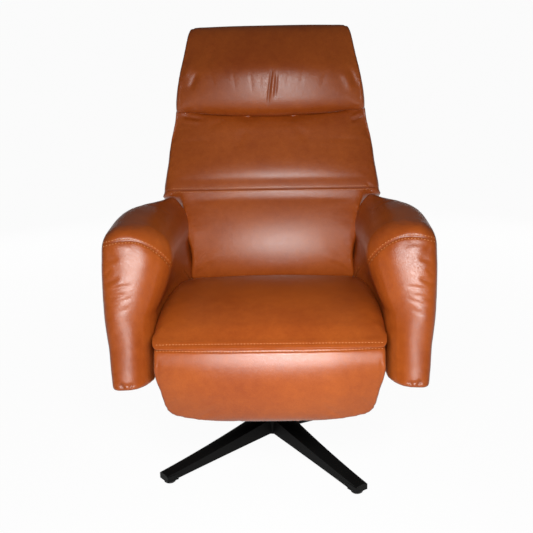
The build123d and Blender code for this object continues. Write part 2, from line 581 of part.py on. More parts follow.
def pad_section(s, half, front, rear, shoulder, crown):
    """Loop across a back pad at height s: flat rear, round shoulders and a crowned front."""
    edge_n = front - crown
    edge_x = half - shoulder
    low_n = edge_n - shoulder * 0.8
    bend = shoulder * 0.293

    def p(x, n):
        return spine_point(x, s, n)

    return [
        line(p(-half, rear), p(half, rear)),
        line(p(half, rear), p(half, low_n)),
        arc(p(half, low_n), p(half - bend, edge_n - bend * 0.8), p(edge_x, edge_n)),
        arc(p(edge_x, edge_n), p(0, front), p(-edge_x, edge_n)),
        arc(p(-edge_x, edge_n), p(-half + bend, edge_n - bend * 0.8), p(-half, low_n)),
        line(p(-half, low_n), p(-half, rear)),
    ]


def slot_in_spine(x0, x1, s0, s1, n0, n1):
    """A block given by its limits in the frame of the spine."""
    block = Box(x1 - x0, s1 - s0, n1 - n0, align=(Align.MIN, Align.MIN, Align.MIN))
    return SPINE * Pos(x0, s0, n0) * block


def bracket_slot(s0, s1, n0, n1):
    """Room for the two head rest brackets, on both sides."""
    x0 = HEAD_BRACKET_X - 6.0
    x1 = HEAD_BRACKET_X + 2 * HEAD_PLATE_THICK + 7.0
    return slot_in_spine(x0, x1, s0, s1, n0, n1) + slot_in_spine(-x1, -x0, s0, s1, n0, n1)


def build_back_pads():
    widen = LOWER_HALF_TOP - LOWER_HALF
    lower = [
        # s, half width, front
        (72.0, LOWER_HALF, 84.0),
        (96.0, LOWER_HALF + 0.13 * widen, 97.0),
        (160.0, LOWER_HALF + 0.19 * widen, 107.0),
        (191.0, LOWER_HALF + 0.27 * widen, 106.0),
        (244.0, LOWER_HALF + 0.39 * widen, 100.0),
        (280.0, LOWER_HALF + 0.51 * widen, 92.5),
        (300.0, LOWER_HALF + 0.68 * widen, 87.5),
        (WING_S, LOWER_HALF_TOP, 84.0),
    ]
    add("lower_back_cushion", loft_through(
        [pad_section(s, half, front, PAD_REAR, 22.0, 12.0) for s, half, front in lower]))
    upper = [
        (WING_S + SEAT_GAP, WING_HALF - WING_CORNER, 84.0),
        (WING_S + WING_CORNER, WING_HALF - 1.0, 83.0),
        (WING_S + 34.0, WING_HALF, 81.5),
        (437.0, WING_HALF - 14.0, 71.0),
        (520.0, NECK_HALF + 5.0, 63.5),
        (543.0, NECK_HALF + 1.5, 59.0),
        (NECK_S, NECK_HALF, 50.5),
    ]
    pad = loft_through([pad_section(s, half, front, PAD_REAR, 24.0, 14.0 if front > 55 else 10.0)
                        for s, half, front in upper])
    pad -= bracket_slot(HEAD_PIVOT_S - 34.0, HEAD_PIVOT_S + 20.0,
                        PAD_REAR - 1.0, HEAD_PIVOT_N + HEAD_BRACKET_WIDTH / 2 + 1.0)
    add("upper_back_cushion", pad)


def shell_outline(inset):
    """Outline of the rear shell, in (x, s): narrow at the seat, spreading behind the arm rests to the wings."""
    low = LOWER_HALF - 5.0 - inset
    wing = WING_HALF - 2.0 - inset
    neck = NECK_HALF - 1.0 - inset
    spread = wing - low
    rise = WING_S + 26.0 - SHELL_CLEAR
    points = [
        (low, SHELL_BOTTOM),
        (low + 0.03 * spread, SHELL_CLEAR),
        (low + 0.30 * spread, SHELL_CLEAR + 0.24 * rise),
        (low + 0.62 * spread, SHELL_CLEAR + 0.56 * rise),
        (low + 0.89 * spread, SHELL_CLEAR + 0.86 * rise),
        (wing, WING_S + 26.0),
        (neck, NECK_S - inset),
    ]
    ring = points + [(-x, s) for x, s in reversed(points)]
    return make_face(Polyline(*ring, close=True))


def build_back_shell():
    shell = extrude(SPINE.offset(SHELL_REAR) * shell_outline(0.0), amount=SHELL_FRONT - SHELL_REAR)
    rear_edges = shell.faces().sort_by(FORWARD)[0].edges()
    shell = fillet(rear_edges, SHELL_WALL * 0.9)
    pocket = extrude(SPINE.offset(SHELL_REAR + SHELL_WALL) * shell_outline(SHELL_WALL), amount=200.0)
    mouth = slot_in_spine(-LOWER_HALF + SHELL_WALL, LOWER_HALF - SHELL_WALL, SHELL_BOTTOM - 50.0, 60.0,
                          SHELL_REAR + SHELL_WALL, 200.0)
    sides = slot_in_spine(-LOWER_HALF - 5, LOWER_HALF + 5, SHELL_BOTTOM - 50.0, 40.0,
                          SHELL_REAR + SHELL_WALL, 200.0)
    shell = shell - pocket - mouth - sides
    shell -= bracket_slot(NECK_S - 30.0, NECK_S + 20.0, SHELL_REAR + SHELL_WALL, 200.0)
    add("back_shell", shell)


def spine_rod(radius, x0, x1, s, n):
    """A round bar along X, placed in the frame of the spine."""
    _, y, z = spine_point(0, s, n)
    return rod_x(radius, x0, x1, y, z)


def spine_bar(radius, x, s0, s1, n):
    """A round bar along the spine."""
    bar = Cylinder(radius, s1 - s0, align=(Align.CENTER, Align.CENTER, Align.MIN))
    return SPINE * Pos(x, s0, n) * Rot(-90, 0, 0) * bar


def lever_angle():
    """Direction of the spring lever from the pivot: half the recline range behind straight down."""
    return math.radians(RECLINE_RANGE / 2)


def lever_point():
    turn = lever_angle()
    return PIVOT_Y + LEVER_RADIUS * math.sin(turn), PIVOT_Z - LEVER_RADIUS * math.cos(turn)


def build_back_frame():
    tube_end = RECLINE_EAR_X - EAR_THICK / 2 - SEAT_GAP
    frame = rod_x(TORSION_RADIUS, -tube_end, tube_end, PIVOT_Y, PIVOT_Z)
    for x in (-UPRIGHT_X, UPRIGHT_X):
        frame += spine_bar(TORSION_RADIUS, x, 0.0, UPRIGHT_TOP, 0.0)
    for s in (200.0, 370.0, UPRIGHT_TOP - TORSION_RADIUS):
        frame += spine_rod(TORSION_RADIUS - 2.5, -UPRIGHT_X, UPRIGHT_X, s, 0.0)
    lever_y, lever_z = lever_point()
    lever = link(PIVOT_Y, PIVOT_Z, lever_y, lever_z, LEVER_WIDTH) - Pos(lever_y, lever_z) * Circle(LEVER_BORE)
    eye = SPRING_EYE_THICK / 2 + 1.0
    for x in (LEVER_X - eye - 4.0, LEVER_X + eye):
        frame += side_plate(lever, x, 4.0)
    bracket = link(*spine_point(0, UPRIGHT_TOP - TORSION_RADIUS, 4.0)[1:],
                   *spine_point(0, HEAD_PIVOT_S, HEAD_PIVOT_N)[1:], HEAD_BRACKET_WIDTH)
    bracket -= Pos(*spine_point(0, HEAD_PIVOT_S, HEAD_PIVOT_N)[1:]) * Circle(HEAD_PIN_RADIUS + RUN_FIT)
    frame += side_plate(bracket, HEAD_BRACKET_X, HEAD_PLATE_THICK)
    frame += side_plate(bracket, -HEAD_BRACKET_X - HEAD_PLATE_THICK, HEAD_PLATE_THICK)
    for side in (-1, 1):
        bore_end = side * (tube_end + 1.0)
        bore_start = side * (tube_end - 24.0)
        frame -= rod_x(PIN_RADIUS + PRESS_GAP, min(bore_start, bore_end), max(bore_start, bore_end),
                       PIVOT_Y, PIVOT_Z)
    add("back_frame", frame)
    pins = []
    for side in (-1, 1):
        inner = side * (tube_end - 24.0)
        outer = side * (RECLINE_EAR_X + EAR_THICK / 2 + 1.0)
        cap = side * (RECLINE_EAR_X + EAR_THICK / 2 + 5.0)
        pin = rod_x(PIN_RADIUS, min(inner, outer), max(inner, outer), PIVOT_Y, PIVOT_Z)
        head = rod_x(PIN_RADIUS + 3.0, min(outer, cap), max(outer, cap), PIVOT_Y, PIVOT_Z)
        pins.append(pin + head)
    add("recline_pins", Compound(pins))
    belts = []
    for s in (120.0, 190.0, 260.0, 395.0, 465.0):
        belts.append(slot_in_spine(-UPRIGHT_X - TORSION_RADIUS, UPRIGHT_X + TORSION_RADIUS,
                                   s - BELT_WIDTH / 2, s + BELT_WIDTH / 2,
                                   TORSION_RADIUS, TORSION_RADIUS + BELT_THICK))
    add("back_belts", Compound(belts))


# Head rest: foam, shell and frame that tilt about a pin in the crease below it
def build_head_rest():
    bottom = HEAD_PIVOT_S + HEAD_GAP - 4.0
    stations = [
        # s, half width, front, crown
        (bottom, HEAD_HALF, 57.0, 12.0),
        (bottom + 13.0, HEAD_HALF, 75.0, 16.0),
        (bottom + 30.0, HEAD_HALF - 2.0, 87.0, 20.0),
        (bottom + 60.0, HEAD_HALF - 7.0, 94.0, 24.0),
        (bottom + 100.0, HEAD_HALF - 15.0, 95.0, 26.0),
        (bottom + 152.0, HEAD_HALF - 27.0, 85.0, 22.0),
        (HEAD_TOP_S - 18.0, HEAD_TOP_HALF + 8.0, 62.0, 12.0),
        (HEAD_TOP_S, HEAD_TOP_HALF - 4.0, 38.0, 4.0),
    ]
    pad = loft_through([pad_section(s, half, front, PAD_REAR, 16.0, crown)
                        for s, half, front, crown in stations])
    pad -= bracket_slot(bottom - 5.0, HEAD_PIVOT_S + 62.0,
                        PAD_REAR - 1.0, HEAD_PIVOT_N + HEAD_BRACKET_WIDTH / 2 + 1.0)
    add("head_cushion", pad)

    def outline(inset):
        half = HEAD_HALF - 1.0 - inset
        top_half = HEAD_TOP_HALF - inset
        top = HEAD_TOP_S - 6.0 - inset
        corner = 16.0
        base = bottom + (inset if inset else 0.0)
        points = [(half, base), (top_half + 4.0, top - corner), (top_half - corner, top)]
        ring = points + [(-x, s) for x, s in reversed(points)]
        return make_face(Polyline(*ring, close=True))

    shell = extrude(SPINE.offset(SHELL_REAR) * outline(0.0), amount=SHELL_FRONT - SHELL_REAR)
    shell = fillet(shell.faces().sort_by(FORWARD)[0].edges(), SHELL_WALL * 0.9)
    shell -= extrude(SPINE.offset(SHELL_REAR + SHELL_WALL) * outline(SHELL_WALL), amount=200.0)
    shell -= bracket_slot(bottom - 5.0, bottom + 30.0, SHELL_REAR + SHELL_WALL, 200.0)
    add("head_shell", shell)

    plate_s = HEAD_PIVOT_S + 50.0
    x0 = HEAD_BRACKET_X + HEAD_PLATE_THICK + SEAT_GAP
    bracket = link(*spine_point(0, HEAD_PIVOT_S, HEAD_PIVOT_N)[1:], *spine_point(0, plate_s, HEAD_TUBE_N)[1:],
                   HEAD_BRACKET_WIDTH)
    bracket -= Pos(*spine_point(0, HEAD_PIVOT_S, HEAD_PIVOT_N)[1:]) * Circle(HEAD_PIN_RADIUS + PRESS_GAP)
    frame = side_plate(bracket, x0, HEAD_PLATE_THICK)
    frame += side_plate(bracket, -x0 - HEAD_PLATE_THICK, HEAD_PLATE_THICK)
    frame_top = HEAD_TOP_S - 60.0
    frame += spine_rod(HEAD_TUBE_RADIUS, -HEAD_FRAME_HALF, HEAD_FRAME_HALF, plate_s, HEAD_TUBE_N)
    frame += spine_rod(HEAD_TUBE_RADIUS, -HEAD_FRAME_HALF, HEAD_FRAME_HALF, frame_top, HEAD_TUBE_N)
    for x in (-HEAD_FRAME_HALF + HEAD_TUBE_RADIUS, HEAD_FRAME_HALF - HEAD_TUBE_RADIUS):
        frame += spine_bar(HEAD_TUBE_RADIUS, x, plate_s, frame_top, HEAD_TUBE_N)
    add("head_frame", frame)
    pins = []
    ratchets = []
    _, pin_y, pin_z = spine_point(0, HEAD_PIVOT_S, HEAD_PIVOT_N)
    for side in (-1, 1):
        inner = side * (HEAD_BRACKET_X - 3.0)
        outer = side * (x0 + HEAD_PLATE_THICK)
        pins.append(rod_x(HEAD_PIN_RADIUS, min(inner, outer), max(inner, outer), pin_y, pin_z))
        disc_end = side * (x0 + HEAD_PLATE_THICK + 5.0)
        ratchets.append(rod_x(HEAD_BRACKET_WIDTH / 2, min(outer, disc_end), max(outer, disc_end), pin_y, pin_z))
    add("head_pins", Compound(pins))
    add("head_ratchets", Compound(ratchets))


# Gas spring: a cylinder hinged on the seat frame and a rod that pushes the lever of the back
def build_gas_spring():
    anchor_z = FRAME_BOTTOM + SPRING_ANCHOR_RISE
    lever_y, lever_z = lever_point()
    lever_z -= LEVER_RADIUS * (1.0 - math.cos(lever_angle())) / 2
    length = math.hypot(lever_y - SPRING_ANCHOR_Y, lever_z - anchor_z)
    tilt = math.degrees(math.atan2(lever_z - anchor_z, lever_y - SPRING_ANCHOR_Y))
    place = Pos(LEVER_X, SPRING_ANCHOR_Y, anchor_z) * Rot(tilt - 90.0, 0, 0)
    half = SPRING_EYE_THICK / 2
    end = SPRING_BODY_LENGTH
    body = rod_z(SPRING_BODY_RADIUS, 16.0, end)
    body = fillet(body.edges().filter_by(GeomType.CIRCLE), 2.0)
    body += rod_z(4.0, 6.0, 18.0)
    body += rod_x(SPRING_EYE_RADIUS, -half, half, 0, 0)
    body -= rod_x(SPRING_PIN_RADIUS + RUN_FIT, -20, 20, 0, 0)
    body -= rod_z(SPRING_ROD_RADIUS + RUN_FIT, end - SPRING_ROD_INSIDE - 45.0, end + 1.0)
    add("gas_spring_cylinder", place * body)
    rod = rod_z(SPRING_ROD_RADIUS, end - SPRING_ROD_INSIDE, length - SPRING_EYE_RADIUS + 2.0)
    rod += rod_x(SPRING_EYE_RADIUS, -half, half, 0, length)
    pin_half = half + 1.0 + 4.0 + 2.0
    rod -= rod_x(SPRING_PIN_RADIUS + PRESS_GAP, -20, 20, 0, length)
    add("gas_spring_rod", place * rod)
    pin = rod_x(SPRING_PIN_RADIUS, -pin_half, pin_half, 0, length)
    add("gas_spring_pin", place * pin)


# Arm rests: a padded shell on a board, carried by two brackets on the seat box
ARM_STATIONS = (
    # y; then from the side of the seat box: inner bottom, inner middle, inner top, outer bottom, outer top;
    # height of the top; width and depth of the round to the inner side; outer radius
    (176.0, 6.0, 6.0, 14.0, 66.0, 81.0, 660.0, 34.0, 112.0, 24.0),
    (90.0, 14.0, 14.0, 18.0, 104.0, 122.0, 668.0, 66.0, 116.0, 34.0),
    (0.0, 31.0, 31.0, 19.0, 130.0, 148.0, 678.0, 86.0, 106.0, 38.0),
    (-150.0, 53.0, 52.0, 16.0, 144.0, 166.0, 683.0, 88.0, 94.0, 42.0),
    (-242.0, 56.5, 55.0, 15.0, 147.0, 167.5, 682.5, 84.0, 87.5, 42.0),
)
# rounded ends: length along the arm rest, and how far the side draws in
ARM_FRONT_ROUND = {"inner": (72.0, 60.0), "outer": (18.0, 15.0), "top": (36.0, 14.0)}
ARM_REAR_ROUND = {"inner": (16.0, 8.0), "outer": (16.0, 8.0), "top": (16.0, 8.0)}
ARM_WAIST_Z = 480.0


def arm_section(y, inner_low, inner_mid, inner_top, outer_low, outer_top, top, inner_wide, inner_deep, outer_r,
                low=ARM_BOTTOM):
    """Loop across the right arm rest on a plane that leans with its front face."""
    lean = ARM_LEAN * max(0.0, min(1.0, (90.0 - y) / 350.0))

    def p(x, z):
        return (SEAT_BOX_HALF + x, y + lean * (z - ARM_WAIST_Z), z)

    bend = 0.293
    crown = (inner_top + inner_wide, top)
    inner_end = (inner_top, top - inner_deep)
    shoulder = (outer_top - outer_r, top)
    swell_z = (inner_end[1] + ARM_WAIST_Z) / 2
    swell_x = (inner_top + inner_mid) / 2 - 0.10 * (inner_mid - inner_top)
    return [
        line(p(inner_low, low), p(outer_low, low)),
        arc(p(outer_low, low), p((outer_low + outer_top) / 2 + 4.0, (low + top) / 2), p(outer_top, top - outer_r)),
        arc(p(outer_top, top - outer_r), p(outer_top - bend * outer_r, top - bend * outer_r), p(*shoulder)),
        arc(p(*shoulder), p((shoulder[0] + crown[0]) / 2, top + 2.0), p(*crown)),
        arc(p(*crown), p(inner_top + bend * inner_wide, top - bend * inner_deep), p(*inner_end)),
        arc(p(*inner_end), p(swell_x - 0.5, swell_z), p(inner_mid, ARM_WAIST_Z)),
        line(p(inner_mid, ARM_WAIST_Z), p(inner_low, low)),
    ]


def arm_end(station, rounding, way):
    """Rounded end of an arm rest: the end section drawn in by steps, each side along its own quarter ellipse."""
    y, inner_low, inner_mid, inner_top, outer_low, outer_top, top, inner_wide, inner_deep, outer_r = station
    reach = max(length for length, _ in rounding.values())
    sections = [arm_section(*station)]
    for turn in (18.0, 36.0, 52.0, 64.0, 76.0, 87.0):
        out = reach * math.sin(math.radians(turn))
        draw = {}
        for side, (length, inset) in rounding.items():
            share = max(0.0, out - reach + length) / length
            draw[side] = inset * (1.0 - math.sqrt(1.0 - share * share))
        inner = draw["inner"]
        outer = draw["outer"]
        sections.append(arm_section(
            y + way * out, inner_low + inner, inner_mid + inner, inner_top + 1.1 * inner,
            outer_low - outer, outer_top - outer, top - draw["top"],
            inner_wide - 0.80 * inner, inner_deep - 0.35 * inner, outer_r - 0.5 * outer, ARM_BOTTOM + 0.5 * outer))
    return loft_through(sections, ruled=True)


def build_arms():
    pad = loft_through([arm_section(*station) for station in ARM_STATIONS])
    pad += arm_end(ARM_STATIONS[0], ARM_REAR_ROUND, 1.0)
    pad += arm_end(ARM_STATIONS[-1], ARM_FRONT_ROUND, -1.0)
    x0 = ARM_BOARD_X - ARM_BOARD_THICK / 2
    x1 = ARM_BOARD_X + ARM_BOARD_THICK / 2
    bracket_top = BOX_TOP - 2.0
    board_low = bracket_top
    board_top = board_low + ARM_BOARD_HEIGHT
    pad -= box(x0 - SEAT_GAP, x1 + SEAT_GAP, ARM_BOARD_FRONT - SEAT_GAP, ARM_BOARD_REAR + SEAT_GAP,
               ARM_BOTTOM - 50.0, board_top + SEAT_GAP)
    board = box(x0, x1, ARM_BOARD_FRONT, ARM_BOARD_REAR, board_low, board_top)
    board = fillet(board.edges().filter_by(Axis.X).group_by(Axis.Z)[-1], 40.0)
    brackets = []
    bolts = []
    for y in ARM_BRACKET_Y:
        y0 = y - ARM_BRACKET_WIDTH / 2
        y1 = y + ARM_BRACKET_WIDTH / 2
        shelf_end = x1 + 12.0
        bracket = box(SEAT_BOX_HALF, shelf_end, y0, y1, bracket_top - ARM_BRACKET_THICK, bracket_top)
        bracket += box(SEAT_BOX_HALF, SEAT_BOX_HALF + ARM_BRACKET_THICK, y0, y1, FRAME_BOTTOM + 6.0, bracket_top)
        for offset in (-ARM_BRACKET_WIDTH / 4, ARM_BRACKET_WIDTH / 4):
            hole = rod_z(ARM_BOLT_RADIUS + 0.2, 0.0, bracket_top + 1, ARM_BOARD_X, y + offset)
            bracket -= hole
            screw_low = bracket_top - ARM_BRACKET_THICK - 4.0
            screw = rod_z(ARM_BOLT_RADIUS, screw_low, bracket_top + 45.0, ARM_BOARD_X, y + offset)
            screw += rod_z(ARM_BOLT_RADIUS * 1.8, screw_low, bracket_top - ARM_BRACKET_THICK,
                           ARM_BOARD_X, y + offset)
            board -= rod_z(ARM_BOLT_RADIUS + PRESS_GAP, bracket_top - 1, bracket_top + 46.0, ARM_BOARD_X, y + offset)
            bolts.append(screw)
        brackets.append(bracket)
    pieces = {
        "arm_pad": pad,
        "arm_board": board,
        "arm_brackets": Compound(brackets),
        "arm_bolts": Compound(bolts),
    }
    for name, piece in pieces.items():
        add(name + "_right", piece)
        add(name + "_left", mirror(piece, Plane.YZ))


build_base()
build_swivel()
build_seat_frame()
build_seat_box()
build_seat_cushion()
build_leg_rest()
build_back_pads()
build_back_shell()
build_back_frame()
build_head_rest()
build_gas_spring()
build_arms()

os.makedirs("parts", exist_ok=True)
for node, piece in PARTS.items():
    export_step(piece, f"parts/{node}.step")
whole = Compound([solid for piece in PARTS.values() for solid in piece.solids()])
limits = whole.bounding_box()
print(len(PARTS), "nodes", limits.min, limits.max)
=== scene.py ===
import math
import bmesh
import bpy
import numpy as np
from mathutils import Matrix, Vector
from mathutils.bvhtree import BVHTree


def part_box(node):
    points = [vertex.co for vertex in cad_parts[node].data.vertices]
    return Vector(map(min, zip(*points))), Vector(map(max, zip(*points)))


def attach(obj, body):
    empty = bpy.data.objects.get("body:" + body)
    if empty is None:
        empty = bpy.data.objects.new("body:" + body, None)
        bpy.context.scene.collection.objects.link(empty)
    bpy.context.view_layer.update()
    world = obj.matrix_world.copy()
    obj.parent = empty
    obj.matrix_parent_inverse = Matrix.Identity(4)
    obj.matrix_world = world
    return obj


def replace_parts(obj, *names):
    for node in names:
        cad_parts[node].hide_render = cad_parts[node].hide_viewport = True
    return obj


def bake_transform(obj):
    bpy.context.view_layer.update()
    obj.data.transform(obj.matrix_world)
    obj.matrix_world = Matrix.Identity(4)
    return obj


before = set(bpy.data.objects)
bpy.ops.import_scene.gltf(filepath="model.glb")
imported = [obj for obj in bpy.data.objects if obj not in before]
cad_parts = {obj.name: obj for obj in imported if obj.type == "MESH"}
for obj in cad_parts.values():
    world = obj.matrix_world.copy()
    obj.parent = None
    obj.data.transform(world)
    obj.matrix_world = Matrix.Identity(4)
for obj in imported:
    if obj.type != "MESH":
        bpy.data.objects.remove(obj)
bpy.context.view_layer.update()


# Star base.
# Four tapered legs round a turned hub, welded from steel and powder coated matt black.
# A black plastic glide is pressed into the end of each leg.


class Tone:
    """A value on its way through a finish. Sums, differences and products of it add Math nodes."""

    def __init__(self, finish, socket):
        self.finish = finish
        self.socket = socket

    def work(self, operation, *values):
        return self.finish.node("ShaderNodeMath", {"operation": operation}, dict(enumerate(values)))

    def __add__(self, other):
        return self.work("ADD", self, other)

    __radd__ = __add__

    def __rsub__(self, other):
        return self.work("SUBTRACT", other, self)

    def __mul__(self, other):
        return self.work("MULTIPLY", self, other)

    __rmul__ = __mul__


class Finish:
    """A finish made of nodes, on a material of its own or on another owner of a node tree."""

    def __init__(self, name, owner=None):
        self.owner = owner or bpy.data.materials.new(name)
        self.owner.use_nodes = True
        self.tree = self.owner.node_tree
        self.tree.nodes.clear()

    def node(self, kind, settings=None, sockets=None, out=0):
        made = self.tree.nodes.new(kind)
        for key, value in (settings or {}).items():
            setattr(made, key, value)
        for key, value in (sockets or {}).items():
            if isinstance(value, Tone):
                self.tree.links.new(value.socket, made.inputs[key])
            else:
                made.inputs[key].default_value = value
        return Tone(self, made.outputs[out]) if len(made.outputs) else made

    def surface(self, height=None, depth=0.0, strength=1.0, **sockets):
        """The finished surface: a Principled shader, with a bump of that depth in metres."""
        named = {key.replace("_", " "): value for key, value in sockets.items()}
        if height is not None:
            named["Normal"] = self.node("ShaderNodeBump", None, {
                "Height": height, "Distance": depth, "Strength": strength})
        shader = self.node("ShaderNodeBsdfPrincipled", None, named)
        self.node("ShaderNodeOutputMaterial", None, {"Surface": shader})
        return self.owner


def dye(red, green, blue):
    """A colour given as it looks on a screen, from 0 to 255."""
    return tuple(((c / 255 + 0.055) / 1.055) ** 2.4 if c > 10 else c / 255 / 12.92
                 for c in (red, green, blue)) + (1.0,)


def paint(material, *nodes):
    """Gives CAD nodes their finish."""
    for name in nodes:
        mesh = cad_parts[name].data
        mesh.materials.clear()
        mesh.materials.append(material)


coat = Finish("black_powder_coat")
place = coat.node("ShaderNodeTexCoord", out="Object")
peel = coat.node("ShaderNodeTexNoise", None, {"Vector": place, "Scale": 900.0, "Detail": 3.0})
dust = coat.node("ShaderNodeTexNoise", None, {"Vector": place, "Scale": 14.0, "Detail": 5.0})
black_coat = coat.surface(
    height=peel, depth=0.0004, strength=0.35,
    Base_Color=coat.node("ShaderNodeMix", {"data_type": "RGBA"}, {
        0: dust, 6: dye(8, 8, 8), 7: dye(14, 13, 12)}, out=2),
    Roughness=0.55 + 0.14 * dust, Specular_IOR_Level=0.14)
paint(black_coat, "star_base", "swivel_plate", "seat_frame", "back_frame", "head_frame", "leg_rest_arms",
      "arm_brackets_left", "arm_brackets_right")

moulded = Finish("black_moulded_plastic")
place = moulded.node("ShaderNodeTexCoord", out="Object")
spark = moulded.node("ShaderNodeTexNoise", None, {"Vector": place, "Scale": 1400.0, "Detail": 2.0})
black_plastic = moulded.surface(
    height=spark, depth=0.0002, strength=0.5,
    Base_Color=moulded.node("ShaderNodeMix", {"data_type": "RGBA"}, {
        0: spark, 6: dye(20, 20, 21), 7: dye(30, 30, 31)}, out=2),
    Roughness=0.5 + 0.12 * spark)
paint(black_plastic, "base_glides", "swivel_bushes", "leg_rest_bushes", "recline_bushes")


# Swivel and fittings.
# The seat turns on a steel spindle with a thrust bearing under its socket, held by a circlip.
# Pins, bolts and ratchets are turned or stamped steel with a thin zinc plating.

plating = Finish("zinc_plated_steel")
place = plating.node("ShaderNodeTexCoord", out="Object")
spangle = plating.node("ShaderNodeTexVoronoi", None, {"Vector": place, "Scale": 160.0}, out="Distance")
smear = plating.node("ShaderNodeTexNoise", None, {"Vector": place, "Scale": 60.0, "Detail": 4.0})
zinc = plating.surface(
    height=spangle, depth=0.0002, strength=0.2,
    Base_Color=plating.node("ShaderNodeMix", {"data_type": "RGBA"}, {
        0: smear, 6: dye(150, 150, 148), 7: dye(190, 188, 182)}, out=2),
    Roughness=0.3 + 0.2 * smear, Metallic=1.0)
paint(zinc, "swivel_spindle", "spindle_circlip", "thrust_bearing", "plate_bolts", "spring_anchor_pin",
      "recline_pins", "head_pins", "head_ratchets", "leg_rest_hinge_tube", "leg_rest_ratchet_left",
      "leg_rest_ratchet_right", "arm_bolts_left", "arm_bolts_right", "gas_spring_pin")

bright = Finish("ground_rod")
place = bright.node("ShaderNodeTexCoord", out="Object")
polish = bright.node("ShaderNodeTexNoise", None, {"Vector": place, "Scale": 420.0, "Detail": 2.0})
ground_rod = bright.surface(
    height=polish, depth=0.0001, strength=0.1,
    Base_Color=bright.node("ShaderNodeMix", {"data_type": "RGBA"}, {
        0: polish, 6: dye(196, 197, 199), 7: dye(222, 222, 223)}, out=2),
    Roughness=0.08 + 0.1 * polish, Metallic=1.0)
paint(ground_rod, "gas_spring_rod")
paint(black_coat, "gas_spring_cylinder")


# Seat box.
# Plywood boards screwed round the steel frame carry the belts. A black lining is stapled under them.
# The belts are woven elastic webbing, stretched over the boards and under the foam.

ply = Finish("birch_plywood")
place = ply.node("ShaderNodeTexCoord", out="Object")
grain = ply.node("ShaderNodeMapping", None, {"Vector": place, "Scale": (38.0, 3.0, 38.0)})
figure = ply.node("ShaderNodeTexNoise", None, {
    "Vector": grain, "Scale": 2.2, "Detail": 6.0, "Distortion": 1.4})
layers = ply.node("ShaderNodeTexWave", {"bands_direction": "Z"}, {
    "Vector": place, "Scale": 95.0, "Distortion": 0.4})
birch = ply.surface(
    height=figure, depth=0.0004, strength=0.3,
    Base_Color=ply.node("ShaderNodeMix", {"data_type": "RGBA"}, {
        0: 0.75 * figure + 0.25 * layers, 6: dye(176, 133, 88), 7: dye(214, 178, 130)}, out=2),
    Roughness=0.55 + 0.2 * figure)
paint(birch, "seat_board_front", "arm_board_left", "arm_board_right", "leg_rest_board")

belt = Finish("elastic_webbing")
place = belt.node("ShaderNodeTexCoord", out="Object")
weft = belt.node("ShaderNodeTexWave", {"bands_direction": "X"}, {"Vector": place, "Scale": 130.0})
warp = belt.node("ShaderNodeTexWave", {"bands_direction": "DIAGONAL"}, {"Vector": place, "Scale": 110.0})
webbing = belt.surface(
    height=weft * warp, depth=0.0008, strength=0.6,
    Base_Color=belt.node("ShaderNodeMix", {"data_type": "RGBA"}, {
        0: weft * warp, 6: dye(38, 36, 34), 7: dye(92, 84, 74)}, out=2),
    Roughness=0.85)
paint(webbing, "seat_belts", "back_belts")

felt = Finish("black_lining")
place = felt.node("ShaderNodeTexCoord", out="Object")
fibres = felt.node("ShaderNodeTexNoise", None, {
    "Vector": place, "Scale": 700.0, "Detail": 5.0, "Distortion": 2.0})
lining = felt.surface(
    height=fibres, depth=0.0006, strength=0.6,
    Base_Color=felt.node("ShaderNodeMix", {"data_type": "RGBA"}, {
        0: fibres, 6: dye(16, 16, 17), 7: dye(40, 39, 38)}, out=2),
    Roughness=0.92)
paint(lining, "underside_cover")


# Leather round the seat box.
# Each side and rear board of the seat box is wrapped in the chair's cognac leather, which is pulled
# tight over its rounded edges, turned under and stapled below.

hide = Finish("cognac_leather")
place = hide.node("ShaderNodeTexCoord", out="Object")
cloud = hide.node("ShaderNodeTexNoise", None, {
    "Vector": place, "Scale": 6.0, "Detail": 5.0, "Roughness": 0.55})
mottle = hide.node("ShaderNodeTexNoise", None, {
    "Vector": place, "Scale": 55.0, "Detail": 4.0, "Roughness": 0.6})
bent = hide.node("ShaderNodeVectorMath", {"operation": "MULTIPLY_ADD"}, {
    0: hide.node("ShaderNodeTexNoise", None, {"Vector": place, "Scale": 180.0, "Detail": 2.0}, out="Color"),
    1: (0.0022, 0.0022, 0.0022), 2: place})
pebble = hide.node("ShaderNodeTexVoronoi", {"feature": "DISTANCE_TO_EDGE"}, {
    "Vector": bent, "Scale": 420.0}, out="Distance")
pore = hide.node("ShaderNodeTexVoronoi", {"feature": "F1"}, {
    "Vector": bent, "Scale": 1150.0}, out="Distance")
raised = hide.node("ShaderNodeMapRange", {"interpolation_type": "SMOOTHSTEP"}, {
    "Value": pebble, "From Min": 0.0, "From Max": 0.32})
# Painted shade: the crease attribute, written by press, darkens the leather in pressed seams and folds, and
# raises its roughness there.
crease = hide.node("ShaderNodeAttribute", {"attribute_name": "crease"}, out="Fac")
tan = hide.node("ShaderNodeMix", {"data_type": "RGBA"}, {
    0: hide.node("ShaderNodeMapRange", None, {"Value": cloud * 0.65 + mottle * 0.35,
                                              "From Min": 0.3, "From Max": 0.7}),
    6: dye(152, 68, 20), 7: dye(180, 90, 30)}, out=2)
tan = hide.node("ShaderNodeMix", {"data_type": "RGBA", "blend_type": "MULTIPLY"}, {
    0: 0.25 - 0.25 * raised, 6: tan, 7: dye(150, 118, 96)}, out=2)
tan = hide.node("ShaderNodeMix", {"data_type": "RGBA", "blend_type": "MULTIPLY"}, {
    0: crease, 6: tan, 7: dye(120, 78, 56)}, out=2)
leather = hide.surface(
    height=0.55 * raised + 0.2 * pore, depth=0.0006, strength=0.25,
    Base_Color=tan, Roughness=0.29 + 0.06 * mottle + 0.04 * raised + 0.2 * crease, Specular_IOR_Level=0.45)


